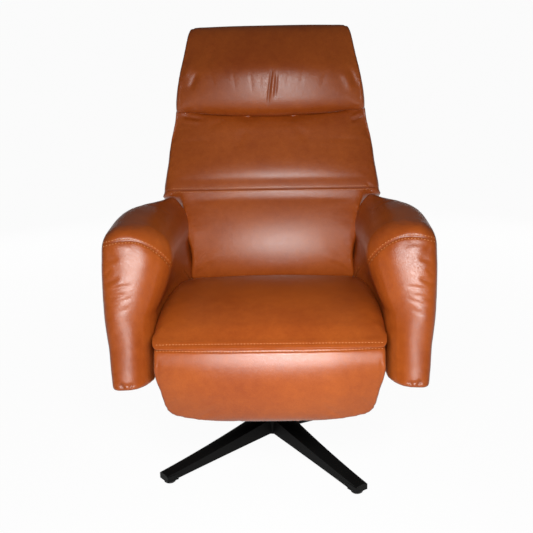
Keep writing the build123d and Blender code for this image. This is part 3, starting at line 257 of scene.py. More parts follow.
def link_piece(name, mesh, material, body):
    """Puts a finished mesh in the scene, on the body that carries it."""
    made = bpy.data.objects.new(name, mesh)
    bpy.context.scene.collection.objects.link(made)
    made.data.materials.clear()
    made.data.materials.append(material)
    for face in made.data.polygons:
        face.use_smooth = True
    if body:
        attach(made, body)
    return made


def wrapped_board(name, node, wrap=0.0015, rounding=0.007):
    """A board in its leather: the board's block with rounded edges and a slight swell."""
    low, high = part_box(node)
    low, high = low - Vector((wrap,) * 3), high + Vector((wrap,) * 3)
    bm = bmesh.new()
    bmesh.ops.create_cube(bm, size=1.0)
    bmesh.ops.scale(bm, vec=high - low, verts=bm.verts)
    bmesh.ops.translate(bm, vec=(low + high) / 2, verts=bm.verts)
    bmesh.ops.bevel(bm, geom=bm.edges[:], offset=rounding, segments=4, profile=0.5, affect="EDGES",
                    material=-1)
    mesh = bpy.data.meshes.new(name)
    bm.to_mesh(mesh)
    bm.free()
    made = link_piece(name, mesh, leather, "seat")
    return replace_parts(made, node)


wrapped_board("seat_side_left", "seat_board_left")
wrapped_board("seat_side_right", "seat_board_right")
wrapped_board("seat_rear_panel", "seat_board_rear")


# Leg rest.
# A padded tongue of foam and leather on a board, hung from a tube under the front edge of the seat.
# Its leather is sewn to the seat along the front seam, where it bends as the tongue swings up; here the pad
# has no body and is not made to bend.


def link_mesh(name, bm):
    mesh = bpy.data.meshes.new(name)
    bm.to_mesh(mesh)
    bm.free()
    made = bpy.data.objects.new(name, mesh)
    bpy.context.scene.collection.objects.link(made)
    return made


def worked(piece, kind, **settings):
    """The piece's mesh as a modifier of that kind leaves it."""
    change = piece.modifiers.new("work", kind)
    for key, value in settings.items():
        setattr(change, key, value)
    mesh = bpy.data.meshes.new_from_object(piece.evaluated_get(bpy.context.evaluated_depsgraph_get()))
    piece.modifiers.clear()
    piece.data = mesh


def foam(name, nodes, voxel, blocks=(), turn=Matrix.Identity(4)):
    """One closed skin round copies of CAD solids and plain blocks, as a cover is cut round its foam."""
    bm = bmesh.new()
    for node in nodes:
        bm.from_mesh(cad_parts[node].data)
    bmesh.ops.remove_doubles(bm, verts=bm.verts, dist=0.00002)
    for low, high in blocks:
        low, high = Vector(low), Vector(high)
        cube = bmesh.ops.create_cube(bm, size=1.0)["verts"]
        bmesh.ops.scale(bm, vec=high - low, verts=cube)
        bmesh.ops.translate(bm, vec=(low + high) / 2, verts=cube)
        bmesh.ops.transform(bm, matrix=turn, verts=cube)
    made = link_mesh(name, bm)
    worked(made, "REMESH", mode="VOXEL", voxel_size=voxel)
    return made


def read_points(piece):
    """Places and normals of a mesh's points."""
    count = len(piece.data.vertices)
    place, normal = np.empty(count * 3), np.empty(count * 3)
    piece.data.vertices.foreach_get("co", place)
    piece.data.vertices.foreach_get("normal", normal)
    return place.reshape(-1, 3), normal.reshape(-1, 3)


def write_points(piece, place):
    piece.data.vertices.foreach_set("co", np.ascontiguousarray(place, dtype=np.float32).ravel())
    piece.data.update()


def ease(piece, turns):
    """Smooths a skin, as foam rounds off under its cover."""
    worked(piece, "SMOOTH", factor=0.5, iterations=turns)


def swell(piece, slack, cap, held, pressure=4.0, last_frame=20):
    """Draws the skin in, then blows it up as cloth over foam. A point moves no further than the cap.
    held gives the points that are sewn or stapled down."""
    place, normal = read_points(piece)
    loose = 1.0 - np.clip(held(place, normal), 0.0, 1.0)
    start = place - normal * (slack * loose)[:, None]
    write_points(piece, start)
    group = piece.vertex_groups.new(name="held")
    for index in np.nonzero(loose < 0.98)[0]:
        group.add([int(index)], 1.0 - float(loose[index]), "REPLACE")
    cloth = piece.modifiers.new("cover", "CLOTH")
    cloth.settings.quality = 3
    cloth.settings.use_pressure = True
    cloth.settings.uniform_pressure_force = pressure
    cloth.settings.effector_weights.gravity = 0.0
    cloth.settings.vertex_group_mass = "held"
    scene = bpy.context.scene
    for step in range(1, last_frame + 1):
        scene.frame_set(step)
    blown = bpy.data.meshes.new_from_object(piece.evaluated_get(bpy.context.evaluated_depsgraph_get()))
    end = np.empty(len(place) * 3)
    blown.vertices.foreach_get("co", end)
    move = end.reshape(-1, 3) - start
    length = np.linalg.norm(move, axis=1)
    move *= (np.minimum(length, cap) / np.maximum(length, 1e-9))[:, None]
    piece.modifiers.clear()
    piece.vertex_groups.clear()
    scene.frame_set(1)
    write_points(piece, start + move)


leg_rest = foam("leg_rest_pad", ["leg_rest_cushion"], 0.005)
ease(leg_rest, 4)


def plump(piece, thickness):
    """Lays wadding of that thickness on a skin. thickness is a number, or a function of the points."""
    place, normal = read_points(piece)
    thick = thickness(place) if callable(thickness) else thickness
    write_points(piece, place + normal * np.reshape(thick, (-1, 1)))


def blur(value, low, high):
    """0 below low, 1 above high, and a soft step between."""
    share = np.clip((value - low) / (high - low), 0.0, 1.0)
    return share * share * (3.0 - 2.0 * share)


belly = (   # height above the floor, and how far the tongue swells out in front of its foam there
    (0.253, 0.010), (0.270, 0.018), (0.300, 0.020), (0.330, 0.019), (0.350, 0.016), (0.370, 0.012),
    (0.390, 0.007), (0.410, 0.004), (0.425, 0.005), (0.437, 0.0085), (0.4425, 0.0118), (0.4465, 0.0))
place, normal = read_points(leg_rest)
full = np.interp(place[:, 2], *zip(*belly)) * (1.0 - 0.5 * blur(abs(place[:, 0]), 0.130, 0.262))
place[:, 1] -= full * blur(-normal[:, 1], 0.05, 0.5)
write_points(leg_rest, place)
swell(leg_rest, slack=0.0015, cap=0.006,
      held=lambda place, normal: blur(place[:, 2], 0.415, 0.430) + (normal[:, 1] > -0.35))
worked(leg_rest, "SUBSURF", levels=1, render_levels=1)


def dress(piece, body, *nodes, fill=0.7):
    """A piece that crosses a joint has no body."""
    piece.data.materials.clear()
    piece.data.materials.append(leather)
    for face in piece.data.polygons:
        face.use_smooth = True
    if body:
        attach(piece, body)
    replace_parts(piece, *nodes)


def chalk(skin, panel, points, step):
    """Even marks on a skin along a smooth line through points of a panel: their places and normals."""
    knots = np.array(points, dtype=float)
    reach = np.concatenate(([0.0], np.cumsum(np.linalg.norm(np.diff(knots, axis=0), axis=1))))
    slope = np.gradient(knots, reach, axis=0)
    run = np.linspace(0.0, reach[-1], max(4, round(reach[-1] / step) + 1))
    before = np.clip(np.searchsorted(reach, run, side="right") - 1, 0, len(knots) - 2)
    span = (reach[before + 1] - reach[before])[:, None]
    t = (run - reach[before])[:, None] / span
    line = ((1 + 2 * t) * (1 - t) ** 2 * knots[before] + t * (1 - t) ** 2 * span * slope[before]
            + t * t * (3 - 2 * t) * knots[before + 1] + t * t * (t - 1) * span * slope[before + 1])
    out = panel.to_3x3() @ Vector((0, 0, 1))
    hits = [skin.ray_cast(panel @ Vector((u, v, 0.9)), -out) for u, v in line]
    hits = [hit for hit in hits if hit[0] is not None]
    return np.array([hit[0] for hit in hits]), np.array([hit[1] for hit in hits])


def skin_of(piece):
    bpy.context.view_layer.update()
    return BVHTree.FromObject(piece, bpy.context.evaluated_depsgraph_get())


def score(piece, panel, heights):
    """Cuts level rows of points across a skin at those heights of a panel, so that a seam lies clean."""
    bm = bmesh.new()
    bm.from_mesh(piece.data)
    for height in heights:
        bmesh.ops.bisect_plane(bm, geom=bm.verts[:] + bm.edges[:] + bm.faces[:],
                               plane_co=panel @ Vector((0, height, 0)),
                               plane_no=panel.to_3x3() @ Vector((0, 1, 0)),
                               dist=0.0004, use_snap_center=True)
    bm.to_mesh(piece.data)
    bm.free()
    piece.data.update()


def press(piece, panel, lines):
    """Presses seams and folds into a skin and paints shade into its sharper grooves, in the crease
    attribute. A line is its depth, its half width, the share of it that fades out at each end, and its
    points on the panel. A depth below 0 raises a ridge."""
    skin = skin_of(piece)
    place, normal = read_points(piece)
    move = np.zeros(len(place))
    shade = np.zeros(len(place))
    for depth, half, fade, points in lines:
        spots, facing = chalk(skin, panel, points, half * 0.5)
        near = np.all((place > spots.min(0) - 3 * half) & (place < spots.max(0) + 3 * half), axis=1)
        index = np.nonzero(near)[0]
        if not len(index):
            continue
        gap = np.linalg.norm(place[index, None] - spots[None], axis=2)
        nearest = gap.argmin(1)
        share = nearest / (len(spots) - 1)
        weight = np.exp(-(gap.min(1) / half) ** 2)
        if fade:
            weight *= blur(share, 0.0, fade) * blur(1.0 - share, 0.0, fade)
        weight *= blur(np.sum(normal[index] * facing[nearest], axis=1), 0.0, 0.4)
        move[index] += depth * weight
        # Painted shade: a groove that is deep for its width is darkened through the crease attribute.
        shade[index] += max(depth / half - 0.35, 0.0) * weight
    write_points(piece, place - normal * move[:, None])
    crease_shade = piece.data.attributes.get("crease") or piece.data.attributes.new("crease", "FLOAT", "POINT")
    old = np.empty(len(place), dtype=np.float32)
    crease_shade.data.foreach_get("value", old)
    crease_shade.data.foreach_set("value", np.clip(old + shade, 0.0, 1.0).astype(np.float32))


yarn = Finish("waxed_thread")
place = yarn.node("ShaderNodeTexCoord", out="Object")
twist = yarn.node("ShaderNodeTexWave", {"bands_direction": "DIAGONAL"}, {"Vector": place, "Scale": 700.0})
thread = yarn.surface(
    height=twist, depth=0.0002, strength=0.5,
    Base_Color=yarn.node("ShaderNodeMix", {"data_type": "RGBA"}, {
        0: twist, 6: dye(196, 120, 66), 7: dye(222, 152, 96)}, out=2),
    Roughness=0.5 + 0.1 * twist)


def sew(name, piece, panel, rows, body, pitch=0.0075):
    """Rows of lock stitches on a skin. A row is its distance from the seam, then the seam's points."""
    stitch = Matrix.Diagonal((0.0023, 0.0010, 0.0009, 1.0))    # half its length, width and height
    skin = skin_of(piece)
    bm = bmesh.new()
    for aside, points in rows:
        spots, normals = chalk(skin, panel, points, pitch)
        ways = np.gradient(spots, axis=0)
        for spot, normal, way in zip(spots, normals, ways):
            out, way = Vector(normal), Vector(way).normalized()
            across = out.cross(way).normalized()
            at, out, _, _ = skin.find_nearest(Vector(spot) + across * aside)
            across = out.cross(way).normalized()
            way = across.cross(out)
            turn = Matrix((way, across, out)).transposed().to_4x4()
            bmesh.ops.create_uvsphere(bm, u_segments=6, v_segments=4, radius=1.0,
                                      matrix=Matrix.Translation(at) @ turn @ stitch)
    mesh = bpy.data.meshes.new(name)
    bm.to_mesh(mesh)
    bm.free()
    return link_piece(name, mesh, thread, body)


front = Matrix(((1, 0, 0, 0), (0, 0, -1, 0), (0, 1, 0, 0), (0, 0, 0, 1)))   # a panel from the front: x, z
seam_half = 0.258                               # half the length of the front seam
foot_height = 0.4325                            # the row of stitches below the front seam
row_cuts = (-0.0030, -0.0015, 0.0, 0.0015, 0.0030)
seam_foot = [(x, foot_height) for x in (-seam_half, 0.0, seam_half)]
score(leg_rest, front, [foot_height + aside for aside in row_cuts])
press(leg_rest, front, [(0.0010, 0.0020, 0.05, seam_foot)] + [
    (0.0011, 0.0032, 0.3, [(x, 0.420), (x * 1.008, 0.385), (x * 1.002, 0.345), (x * 0.975, 0.310)])
    for x in (-0.2535, 0.2535)])
dress(leg_rest, None, "leg_rest_cushion")
foot_stitches = sew("leg_rest_stitches", leg_rest, front, [(0.0, seam_foot)], None)
for piece in (leg_rest, foot_stitches):
    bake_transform(piece)


# Seat cushion.
# Foam on belts under one leather cover with rounded shoulders. Its front edge is a thin hem that
# is sewn to the leather of the leg rest, with a row of stitches on each side of the seam.

# y, half width, height of the crown, shoulder, fall to the shoulder, height of the underside
seat_stations = (
    (0.113, 0.226, 0.4420, 0.012, 0.003, 0.322),
    (0.109, 0.230, 0.4490, 0.014, 0.004, 0.321),
    (0.097, 0.234, 0.4580, 0.016, 0.005, 0.321),
    (0.050, 0.245, 0.4760, 0.022, 0.008, 0.321),
    (0.000, 0.253, 0.4900, 0.026, 0.010, 0.321),
    (-0.060, 0.260, 0.5000, 0.030, 0.012, 0.321),
    (-0.120, 0.266, 0.5035, 0.032, 0.013, 0.321),
    (-0.170, 0.270, 0.5025, 0.032, 0.013, 0.321),
    (-0.220, 0.272, 0.4980, 0.031, 0.012, 0.321),
    (-0.255, 0.2725, 0.4925, 0.029, 0.011, 0.321),
    (-0.272, 0.2725, 0.4885, 0.027, 0.010, 0.321),
    (-0.281, 0.2725, 0.4862, 0.026, 0.010, 0.330),
    (-0.283, 0.2725, 0.4856, 0.026, 0.010, 0.398),
    (-0.290, 0.2725, 0.4834, 0.025, 0.009, 0.4205),
    (-0.310, 0.272, 0.4762, 0.021, 0.007, 0.4418),
    (-0.330, 0.2715, 0.4672, 0.016, 0.005, 0.4502),
    (-0.345, 0.271, 0.4594, 0.012, 0.003, 0.4519),
    (-0.358, 0.270, 0.4523, 0.009, 0.001, 0.4502),
    (-0.368, 0.2695, 0.4483, 0.007, 0.001, 0.4468),
    (-0.376, 0.268, 0.4446, 0.006, 0.001, 0.4430),
    (-0.3815, 0.2655, 0.4412, 0.005, 0.001, 0.4396),
    (-0.3845, 0.261, 0.4386, 0.004, 0.001, 0.4370),
)


def along(stations, column, share):
    """A column of a table of stations, at a share of the way through them measured along y."""
    reach = [abs(row[0] - stations[0][0]) for row in stations]
    return np.interp(share, reach, [row[column] for row in stations])


bm = bmesh.new()
bmesh.ops.create_cube(bm, size=2.0)
for axis, cuts in ((0, 60), (1, 62), (2, 10)):
    edges = [e for e in bm.edges if abs((e.verts[0].co - e.verts[1].co)[axis]) > 1e-6
             and (e.verts[0].co - e.verts[1].co).length - abs((e.verts[0].co - e.verts[1].co)[axis]) < 1e-6]
    bmesh.ops.subdivide_edges(bm, edges=edges, cuts=cuts, use_grid_fill=True)
reach = seat_stations[0][0] - seat_stations[-1][0]
quarter_turn = 1.571
for v in bm.verts:
    u, w = v.co.x, (v.co.z + 1) / 2
    share = (1 - v.co.y) / 2 * reach
    half, crown, shoulder, fall, under = (along(seat_stations, i, share) for i in (1, 2, 3, 4, 5))
    flat = half - shoulder
    run = abs(u) * (flat + quarter_turn * shoulder)
    if run <= flat:
        x, z = run, crown - fall * (run / flat) ** 2
    else:
        turn = (run - flat) / shoulder
        x, z = flat + shoulder * math.sin(turn), crown - fall - shoulder * (1 - math.cos(turn))
    x = math.copysign(x, u)
    z = max(z, under + 0.002)
    v.co = ((1 - w) * u * half + w * x, seat_stations[0][0] - share, (1 - w) * under + w * z)
seat = link_mesh("seat_pad", bm)
swell(seat, slack=0.0025, cap=0.006,
      held=lambda place, normal: (normal[:, 2] < 0.4) + blur(-place[:, 1], 0.300, 0.320))
worked(seat, "SUBSURF", levels=1, render_levels=1)
hem_height = 0.4455                             # the row of stitches above the front seam
seam_hem = [(x, hem_height) for x in (-seam_half, 0.0, seam_half)]
score(seat, front, [hem_height + aside for aside in row_cuts])
press(seat, front, [(0.0009, 0.0020, 0.05, seam_hem)])
dress(seat, "seat", "seat_cushion")
sew("seat_stitches", seat, front, [(0.0, seam_hem)], "seat")


# Back.
# Foam on belts in a steel frame with a moulded rear shell, under one cover: a lower panel between
# the arms and a wider upper panel, joined by a cross seam with a row of stitches on each side.

# The frame of the spine: x, along the back, out of its front.
lean = math.radians(14.8)
spine = Matrix(((1, 0, 0, 0), (0, math.sin(lean), -math.cos(lean), 0.186),
                (0, math.cos(lean), math.sin(lean), 0.338), (0, 0, 0, 1)))
spine_axes = np.array(spine.to_3x3())
spine_foot = np.array(spine.translation)


def spine_place(place):
    """Places in the frame of the spine."""
    return (place - spine_foot) @ spine_axes


def world_place(local):
    """Places in the chair's own frame, from places in the frame of the spine."""
    return local @ spine_axes.T + spine_foot


# Blocks fill the room of the frame and belts, and step out below the wings of the upper panel.
back = foam("back_pad", ["lower_back_cushion", "upper_back_cushion", "back_shell"], 0.0066,
            blocks=(((-0.204, 0.026, -0.020), (0.204, 0.330, 0.020)),
                    ((-0.236, 0.150, -0.020), (0.236, 0.350, 0.014)),
                    ((-0.249, 0.184, -0.020), (0.249, 0.350, 0.018)),
                    ((-0.262, 0.226, -0.020), (0.262, 0.548, 0.020)),
                    ((-0.273, 0.264, -0.020), (0.273, 0.400, 0.020)),
                    ((-0.284, 0.302, -0.020), (0.284, 0.400, 0.020)),
                    ((-0.175, 0.490, 0.000), (0.175, 0.5505, 0.046))), turn=spine)
ease(back, 4)
# The sides below the wings are smoothed further, so that no step of the blocks shows.
bm = bmesh.new()
bm.from_mesh(back.data)
to_spine = spine.inverted()
beside = [v for v in bm.verts if abs(v.co.x) > 0.185 and 0.060 < (to_spine @ v.co).y < 0.330
          and -0.012 < (to_spine @ v.co).z < 0.070]
for turn in range(60):
    bmesh.ops.smooth_vert(bm, verts=beside, factor=0.5, use_axis_x=True, use_axis_y=True, use_axis_z=True)
bm.to_mesh(back.data)
bm.free()
wadding = 0.003                  # wadding between the foam and the leather
plump(back, wadding)
hang = 0.017                     # how much lower the crease below the head rest hangs in its middle
place, _ = read_points(back)
local = spine_place(place)
# The top edge hangs in its middle and rises at its corners, and the upper front leans back.
local[:, 1] -= hang * (1.0 - (local[:, 0] / 0.262) ** 2) * blur(local[:, 1], 0.45, 0.55)
local[:, 1] += 0.007 * blur(abs(local[:, 0]), 0.215, 0.255) * blur(local[:, 1], 0.530, 0.548)
local[:, 2] -= 0.016 * blur(local[:, 1], 0.370, 0.560) * blur(local[:, 2], 0.030, 0.050)
# The lower edge of the wings drops, and the panel below them widens at its foot and beside the arms.
local[:, 1] -= 0.014 * blur(abs(local[:, 0]), 0.250, 0.285) * (1.0 - blur(local[:, 1], 0.318, 0.400))
local[:, 0] *= 1.0 + 0.035 * blur(abs(local[:, 0]), 0.150, 0.210) * (1.0 - blur(local[:, 1], 0.080, 0.150))
beside_arm = blur(local[:, 1], 0.160, 0.220) * (1.0 - blur(local[:, 1], 0.310, 0.326))
local[:, 0] *= 1.0 + 0.036 * blur(abs(local[:, 0]), 0.150, 0.210) * beside_arm
write_points(back, world_place(local))
seam_s = 0.332                   # height of the cross seam along the spine


def sewn_back(place, normal):
    """The back's cover is sewn down at its cross seam and glued to the shell at the rear and the sides."""
    local = spine_place(place)
    near_seam = 1.0 - blur(abs(local[:, 1] - seam_s), 0.004, 0.045)
    return (local[:, 2] < 0.030) + near_seam + (abs(normal[:, 0]) > 0.6)


swell(back, slack=0.0035, cap=0.009, held=sewn_back)
worked(back, "SUBSURF", levels=1, render_levels=1)
seam = [(-0.290, seam_s), (0.0, seam_s), (0.290, seam_s)]
below = [(u, v - 0.0045) for u, v in seam]
seam_cuts = (-0.0075, -0.0045, -0.0025, -0.0012, 0.0, 0.0012, 0.0025, 0.0050)
score(back, spine, [seam_s + aside for aside in seam_cuts])
# The cross seam and the ridge below it, pleats and draws at the top, pleats at the ends of the seam.
press(back, spine, [
    (0.0013, 0.0018, 0.0, seam), (-0.0008, 0.0030, 0.0, below),
    (0.0025, 0.0055, 0.35, [(-0.262, 0.545), (-0.225, 0.538), (-0.180, 0.529)]),
    (-0.0020, 0.0070, 0.35, [(-0.258, 0.532), (-0.225, 0.527), (-0.190, 0.521)]),
    (-0.0030, 0.0060, 0.35, [(0.262, 0.546), (0.243, 0.537), (0.222, 0.525)]),
    (0.0026, 0.0050, 0.35, [(0.262, 0.535), (0.245, 0.527), (0.225, 0.516)]),
    (0.0016, 0.0100, 0.40, [(-0.126, 0.530), (-0.154, 0.518), (-0.183, 0.508)]),
    (0.0012, 0.0120, 0.40, [(0.060, 0.520), (0.085, 0.490), (0.100, 0.455)]),
    (0.0010, 0.0120, 0.40, [(-0.060, 0.515), (-0.080, 0.480), (-0.090, 0.440)]),
    (0.0022, 0.0045, 0.35, [(0.256, 0.328), (0.270, 0.323), (0.286, 0.322)]),
    (0.0018, 0.0045, 0.35, [(0.262, 0.343), (0.276, 0.337), (0.290, 0.337)]),
    (0.0022, 0.0045, 0.35, [(-0.256, 0.328), (-0.270, 0.323), (-0.286, 0.322)]),
])
dress(back, "back", "lower_back_cushion", "upper_back_cushion", "back_shell")
sewn = [(-0.272, seam_s), (0.0, seam_s), (0.272, seam_s)]
sew("back_stitches", back, spine, [(0.0055, sewn), (-0.0055, sewn)], "back")


# Head rest.
# A thicker cushion on its own hinged frame and shell, in leather that is drawn into a tuck
# in the middle and hangs over the crease below it.

head = foam("head_pad", ["head_cushion", "head_shell"], 0.005,
            blocks=(((-0.205, 0.572, -0.020), (0.205, 0.764, 0.020)),
                    ((-0.175, 0.5605, 0.000), (0.175, 0.580, 0.046))), turn=spine)
ease(head, 4)
plump(head, wadding)
place, _ = read_points(head)
local = spine_place(place)
# A lip hangs over the crease, the middle swells out, the lower corners drop and the top rolls up.
lip = blur(local[:, 2], 0.015, 0.055) * (1.0 - blur(local[:, 1], 0.568, 0.605))
sag = hang * (1.0 - (local[:, 0] / 0.262) ** 2) * (1.0 - blur(local[:, 1], 0.568, 0.68))
local[:, 1] -= 0.009 * lip + sag
local[:, 2] += 0.005 * lip
local[:, 2] += 0.008 * np.exp(-((local[:, 1] - 0.655) / 0.040) ** 2) * blur(local[:, 2], 0.030, 0.070)
local[:, 1] -= 0.006 * blur(abs(local[:, 0]), 0.215, 0.255) * (1.0 - blur(local[:, 1], 0.568, 0.610))
local[:, 1] += 0.012 * blur(local[:, 1], 0.68, 0.775)
write_points(head, world_place(local))
swell(head, slack=0.0035, cap=0.009,
      held=lambda place, normal: (spine_place(place)[:, 2] < 0.020) + (abs(normal[:, 0]) > 0.6))
worked(head, "SUBSURF", levels=1, render_levels=1)
draws = [
    (0.0004, 0.0060, 0.45, [(-0.150, 0.610), (-0.158, 0.640), (-0.170, 0.668)]),
    (0.0004, 0.0050, 0.45, [(-0.092, 0.596), (-0.097, 0.632), (-0.108, 0.676)]),
    (0.0005, 0.0045, 0.45, [(-0.048, 0.590), (-0.050, 0.628), (-0.056, 0.664)]),
    (0.0004, 0.0045, 0.45, [(-0.026, 0.600), (-0.025, 0.632), (-0.027, 0.656)]),
    (0.0005, 0.0045, 0.45, [(0.044, 0.592), (0.050, 0.630), (0.060, 0.672)]),
    (0.0004, 0.0055, 0.45, [(0.082, 0.604), (0.090, 0.640), (0.104, 0.680)]),
    (0.0004, 0.0060, 0.45, [(0.140, 0.600), (0.150, 0.634), (0.166, 0.664)]),
]
# The draws, then the tuck in the middle with its ridge, and the folds at the corners.
press(head, spine, draws + [
    (0.0020, 0.0032, 0.30, [(-0.007, 0.552), (-0.002, 0.593), (0.004, 0.634), (0.008, 0.668)]),
    (-0.0012, 0.0045, 0.35, [(0.005, 0.570), (0.009, 0.610), (0.014, 0.655)]),
    (0.0017, 0.0032, 0.35, [(0.013, 0.574), (0.018, 0.615), (0.022, 0.658)]),
    (0.0028, 0.0090, 0.35, [(-0.195, 0.664), (-0.210, 0.636), (-0.224, 0.606)]),
    (-0.0024, 0.0100, 0.35, [(-0.214, 0.690), (-0.228, 0.662), (-0.238, 0.635)]),
    (-0.0018, 0.0110, 0.35, [(0.200, 0.655), (0.216, 0.625), (0.228, 0.592)]),
    (0.0018, 0.0080, 0.35, [(0.216, 0.668), (0.231, 0.640), (0.240, 0.606)]),
    (0.0014, 0.0090, 0.40, [(-0.150, 0.742), (-0.160, 0.705), (-0.175, 0.668)]),
    (0.0012, 0.0100, 0.40, [(0.160, 0.745), (0.170, 0.708), (0.182, 0.672)]),
])
dress(head, "head", "head_cushion", "head_shell")


# Neck sleeve.
# A sleeve of soft leather, sewn from one strip, that closes the gap between the back and the head rest.
# It is stapled to both frames inside the pads. Here it has no body and is built in the rest pose; it is not
# made to stretch as the head rest tilts.

sleeve_low, sleeve_high = 0.528, 0.598
sleeve_width, sleeve_depth, sleeve_corner = 0.500, 0.040, 0.018
sleeve_out = 0.008               # how far its middle lies in front of the spine
bm = bmesh.new()
bmesh.ops.create_cube(bm, size=1.0)
bmesh.ops.scale(bm, vec=(sleeve_width, sleeve_high - sleeve_low, sleeve_depth), verts=bm.verts)
bmesh.ops.delete(bm, geom=[f for f in bm.faces if abs(f.normal.y) > 0.5], context="FACES_ONLY")
upright = [e for e in bm.edges if abs((e.verts[0].co - e.verts[1].co).normalized().y) > 0.9]
bmesh.ops.bevel(bm, geom=upright, offset=sleeve_corner, segments=5, profile=0.5, affect="EDGES", material=-1)
upright = [e for e in bm.edges if abs((e.verts[0].co - e.verts[1].co).normalized().y) > 0.9]
bmesh.ops.subdivide_edges(bm, edges=upright, cuts=9, use_grid_fill=True)
bmesh.ops.translate(bm, vec=(0.0, (sleeve_low + sleeve_high) / 2, sleeve_out), verts=bm.verts)
bmesh.ops.transform(bm, matrix=spine, verts=bm.verts)
bmesh.ops.recalc_face_normals(bm, faces=bm.faces)
mesh = bpy.data.meshes.new("neck_sleeve")
bm.to_mesh(mesh)
bm.free()
sleeve = link_piece("neck_sleeve", mesh, leather, None)
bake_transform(sleeve)


# Arm rests.
# Each arm is foam on a plywood board, in a leather sleeve with a front panel set in by a double
# stitched seam. The leather is gathered at the outer side and folded under at the bottom.

# The panel of an arm's front: x, up the front, out of it.
arm_lean = math.radians(20.0)
arm_front = Matrix(((1, 0, 0, 0), (0, math.sin(arm_lean), -math.cos(arm_lean), -0.314),
                    (0, math.cos(arm_lean), math.sin(arm_lean), 0.480), (0, 0, 0, 1)))
arm_seam = ((0.388, 0.183), (0.350, 0.190), (0.310, 0.189), (0.277, 0.174), (0.246, 0.146), (0.231, 0.118),
            (0.224, 0.080))
arm_folds = (   # depth, half width and points of each gather, outer end first
    (0.0038, 0.0052, ((0.389, 0.086), (0.367, 0.098), (0.346, 0.107))),
    (-0.0018, 0.0070, ((0.386, 0.074), (0.362, 0.086), (0.338, 0.095))),
    (0.0026, 0.0048, ((0.387, 0.106), (0.376, 0.119), (0.366, 0.131))),
    (0.0022, 0.0060, ((0.387, 0.052), (0.359, 0.061), (0.328, 0.066))),
    (0.0020, 0.0060, ((0.380, 0.074), (0.348, 0.082), (0.314, 0.086))),
    (0.0016, 0.0060, ((0.376, 0.035), (0.344, 0.049), (0.316, 0.060))),
    (0.0018, 0.0060, ((0.388, 0.138), (0.370, 0.146), (0.348, 0.151))),
    (-0.0016, 0.0080, ((0.384, 0.122), (0.362, 0.136), (0.340, 0.143))),
    (0.0012, 0.0070, ((0.372, 0.012), (0.345, 0.026), (0.322, 0.036))),
    (-0.0022, 0.0085, ((0.372, 0.171), (0.345, 0.175), (0.318, 0.172))),
)
arm_tucks = (   # the folds at the bottom, given the same way
    (0.0024, 0.0036, ((0.352, -0.142), (0.345, -0.152), (0.340, -0.166))),
    (0.0020, 0.0036, ((0.322, -0.144), (0.328, -0.154), (0.330, -0.167))),
    (0.0014, 0.0034, ((0.374, -0.153), (0.345, -0.149), (0.312, -0.151))),
)


def arm_wadding(place):
    """Wadding on an arm: thicker along its outer side, and a little less over its outer top edge."""
    outer = blur(abs(place[:, 0]), 0.320, 0.370)
    side = 0.006 * blur(place[:, 2], 0.400, 0.500)
    top = 0.002 * blur(place[:, 2], 0.580, 0.640)
    return wadding + outer * (side - top)


def sewn_arm(place, normal):
    """An arm's cover is stapled below, held at the rear and drawn tight over both sides."""
    return (place[:, 2] < 0.335) + (place[:, 1] > 0.050) + (abs(normal[:, 0]) > 0.7)


for side, sign in (("left", -1), ("right", 1)):
    low, high = sorted((sign * 0.290, sign * 0.310))      # a block fills the slot of the arm board
    arm = foam("arm_" + side, ["arm_pad_" + side], 0.006,
               blocks=(((low, -0.2305, 0.3225), (high, 0.0605, 0.5685)),))
    ease(arm, 4)
    plump(arm, arm_wadding)
    place, _ = read_points(arm)
    # The front leans back at its top and turns away towards the inner side. The bottom is drawn up.
    inward = np.clip(0.389 - abs(place[:, 0]), 0.0, 0.14) / 0.14
    turned = 0.10 * (place[:, 2] - 0.480) + 0.018 * inward ** 2
    place[:, 1] += turned * blur(-place[:, 1], 0.120, 0.260)
    place[:, 2] += 0.006 * (1.0 - blur(place[:, 2], 0.320, 0.380))
    write_points(arm, place)
    swell(arm, slack=0.0012, cap=0.004, held=sewn_arm)
    worked(arm, "SUBSURF", levels=1, render_levels=1)
    seam = [(sign * u, v) for u, v in arm_seam]
    shift = 0.0 if sign < 0 else -0.011
    press(arm, arm_front, [(0.0022, 0.0036, 0.1, seam)] + [
        (0.45 * depth, 0.8 * half, 0.35, [(sign * u, v + shift) for u, v in points])
        for depth, half, points in arm_folds] + [
        (depth, half, 0.2, [(sign * u, v) for u, v in points]) for depth, half, points in arm_tucks])
    dress(arm, "seat", "arm_pad_" + side)
    sew("arm_stitches_" + side, arm, arm_front, [(0.0048, seam), (-0.0048, seam)], "seat")


# Floor, light and camera.
# A pale floor, a soft lamp in front of the chair near the line of the camera, two broad lamps behind it
# for its sides and rear, and a faint fill from all round.

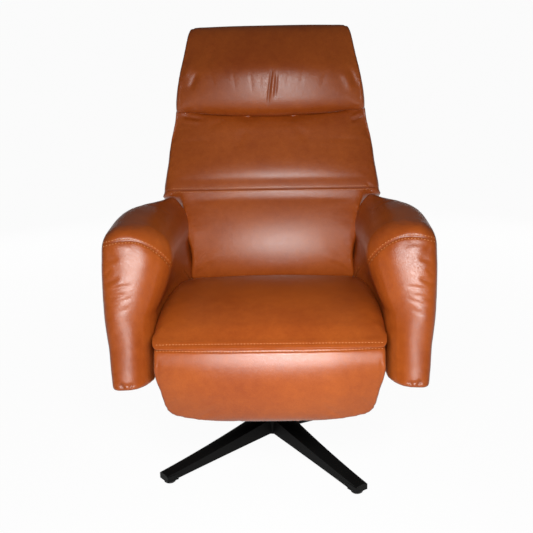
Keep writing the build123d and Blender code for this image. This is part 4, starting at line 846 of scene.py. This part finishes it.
floor_bm = bmesh.new()
bmesh.ops.create_grid(floor_bm, x_segments=2, y_segments=2, size=60.0)
floor = link_mesh("floor", floor_bm)
pale = Finish("white_floor")
rays = ("Is Camera Ray", "Is Glossy Ray", "Is Transmission Ray")
seen = sum(pale.node("ShaderNodeLightPath", out=ray) for ray in rays)
shadowed = pale.node("ShaderNodeBsdfDiffuse", None, {"Color": (0.86, 0.86, 0.86, 1.0)})
clear = pale.node("ShaderNodeEmission", None, {"Color": (1.0, 1.0, 1.0, 1.0), "Strength": 1.0})
pale.node("ShaderNodeOutputMaterial", None, {
    "Surface": pale.node("ShaderNodeMixShader", None, {0: 0.96 * seen, 1: shadowed, 2: clear})})
floor.data.materials.append(pale.owner)

sky = Finish("sky", bpy.data.worlds.new("studio"))
sky.node("ShaderNodeOutputWorld", None, {"Surface": sky.node("ShaderNodeBackground", None, {
    "Color": (1.0, 1.0, 1.0, 1.0), "Strength": 0.10})})
bpy.context.scene.world = sky.owner


def lamp(name, at, aim, size, power, spread=180.0, shine=True):
    light = bpy.data.lights.new(name, "AREA")
    light.shape, light.size, light.energy = "DISK", size, power
    light.spread = math.radians(spread)
    made = bpy.data.objects.new(name, light)
    made.location = at
    made.visible_glossy = shine
    made.rotation_euler = (Vector(aim) - Vector(at)).to_track_quat("-Z", "Y").to_euler()
    bpy.context.scene.collection.objects.link(made)


lamp("flash", (0.05, -1.48, 1.06), (0.0, -0.10, 0.25), 0.36, 11.2, spread=120.0)
lamp("rear_left", (-1.30, 2.30, 0.85), (0.0, 0.10, 0.60), 0.90, 12.0, shine=False)
lamp("rear_right", (1.30, 2.30, 0.85), (0.0, 0.10, 0.60), 0.90, 12.0, shine=False)

eye = Vector((0.055, -2.400, 1.266))
yaw, pitch, roll = (math.radians(a) for a in (-1.61, 17.4, -1.3))
view = Vector((math.sin(yaw) * math.cos(pitch), math.cos(yaw) * math.cos(pitch), -math.sin(pitch)))
right = view.cross(Vector((0, 0, 1))).normalized()
up = right.cross(view)
right, up = right * math.cos(roll) + up * math.sin(roll), up * math.cos(roll) - right * math.sin(roll)
camera = bpy.data.cameras.new("camera")
camera.sensor_width = 36.0
camera.lens = 953.0 / 533.0 * camera.sensor_width       # 953 pixels of focal length, 533 of width
camera.clip_end = 200.0
holder = bpy.data.objects.new("camera", camera)
holder.matrix_world = Matrix(((right.x, up.x, -view.x, eye.x), (right.y, up.y, -view.y, eye.y),
                              (right.z, up.z, -view.z, eye.z), (0, 0, 0, 1)))
bpy.context.scene.collection.objects.link(holder)
bpy.context.scene.camera = holder
bpy.context.scene.view_settings.view_transform = "Standard"
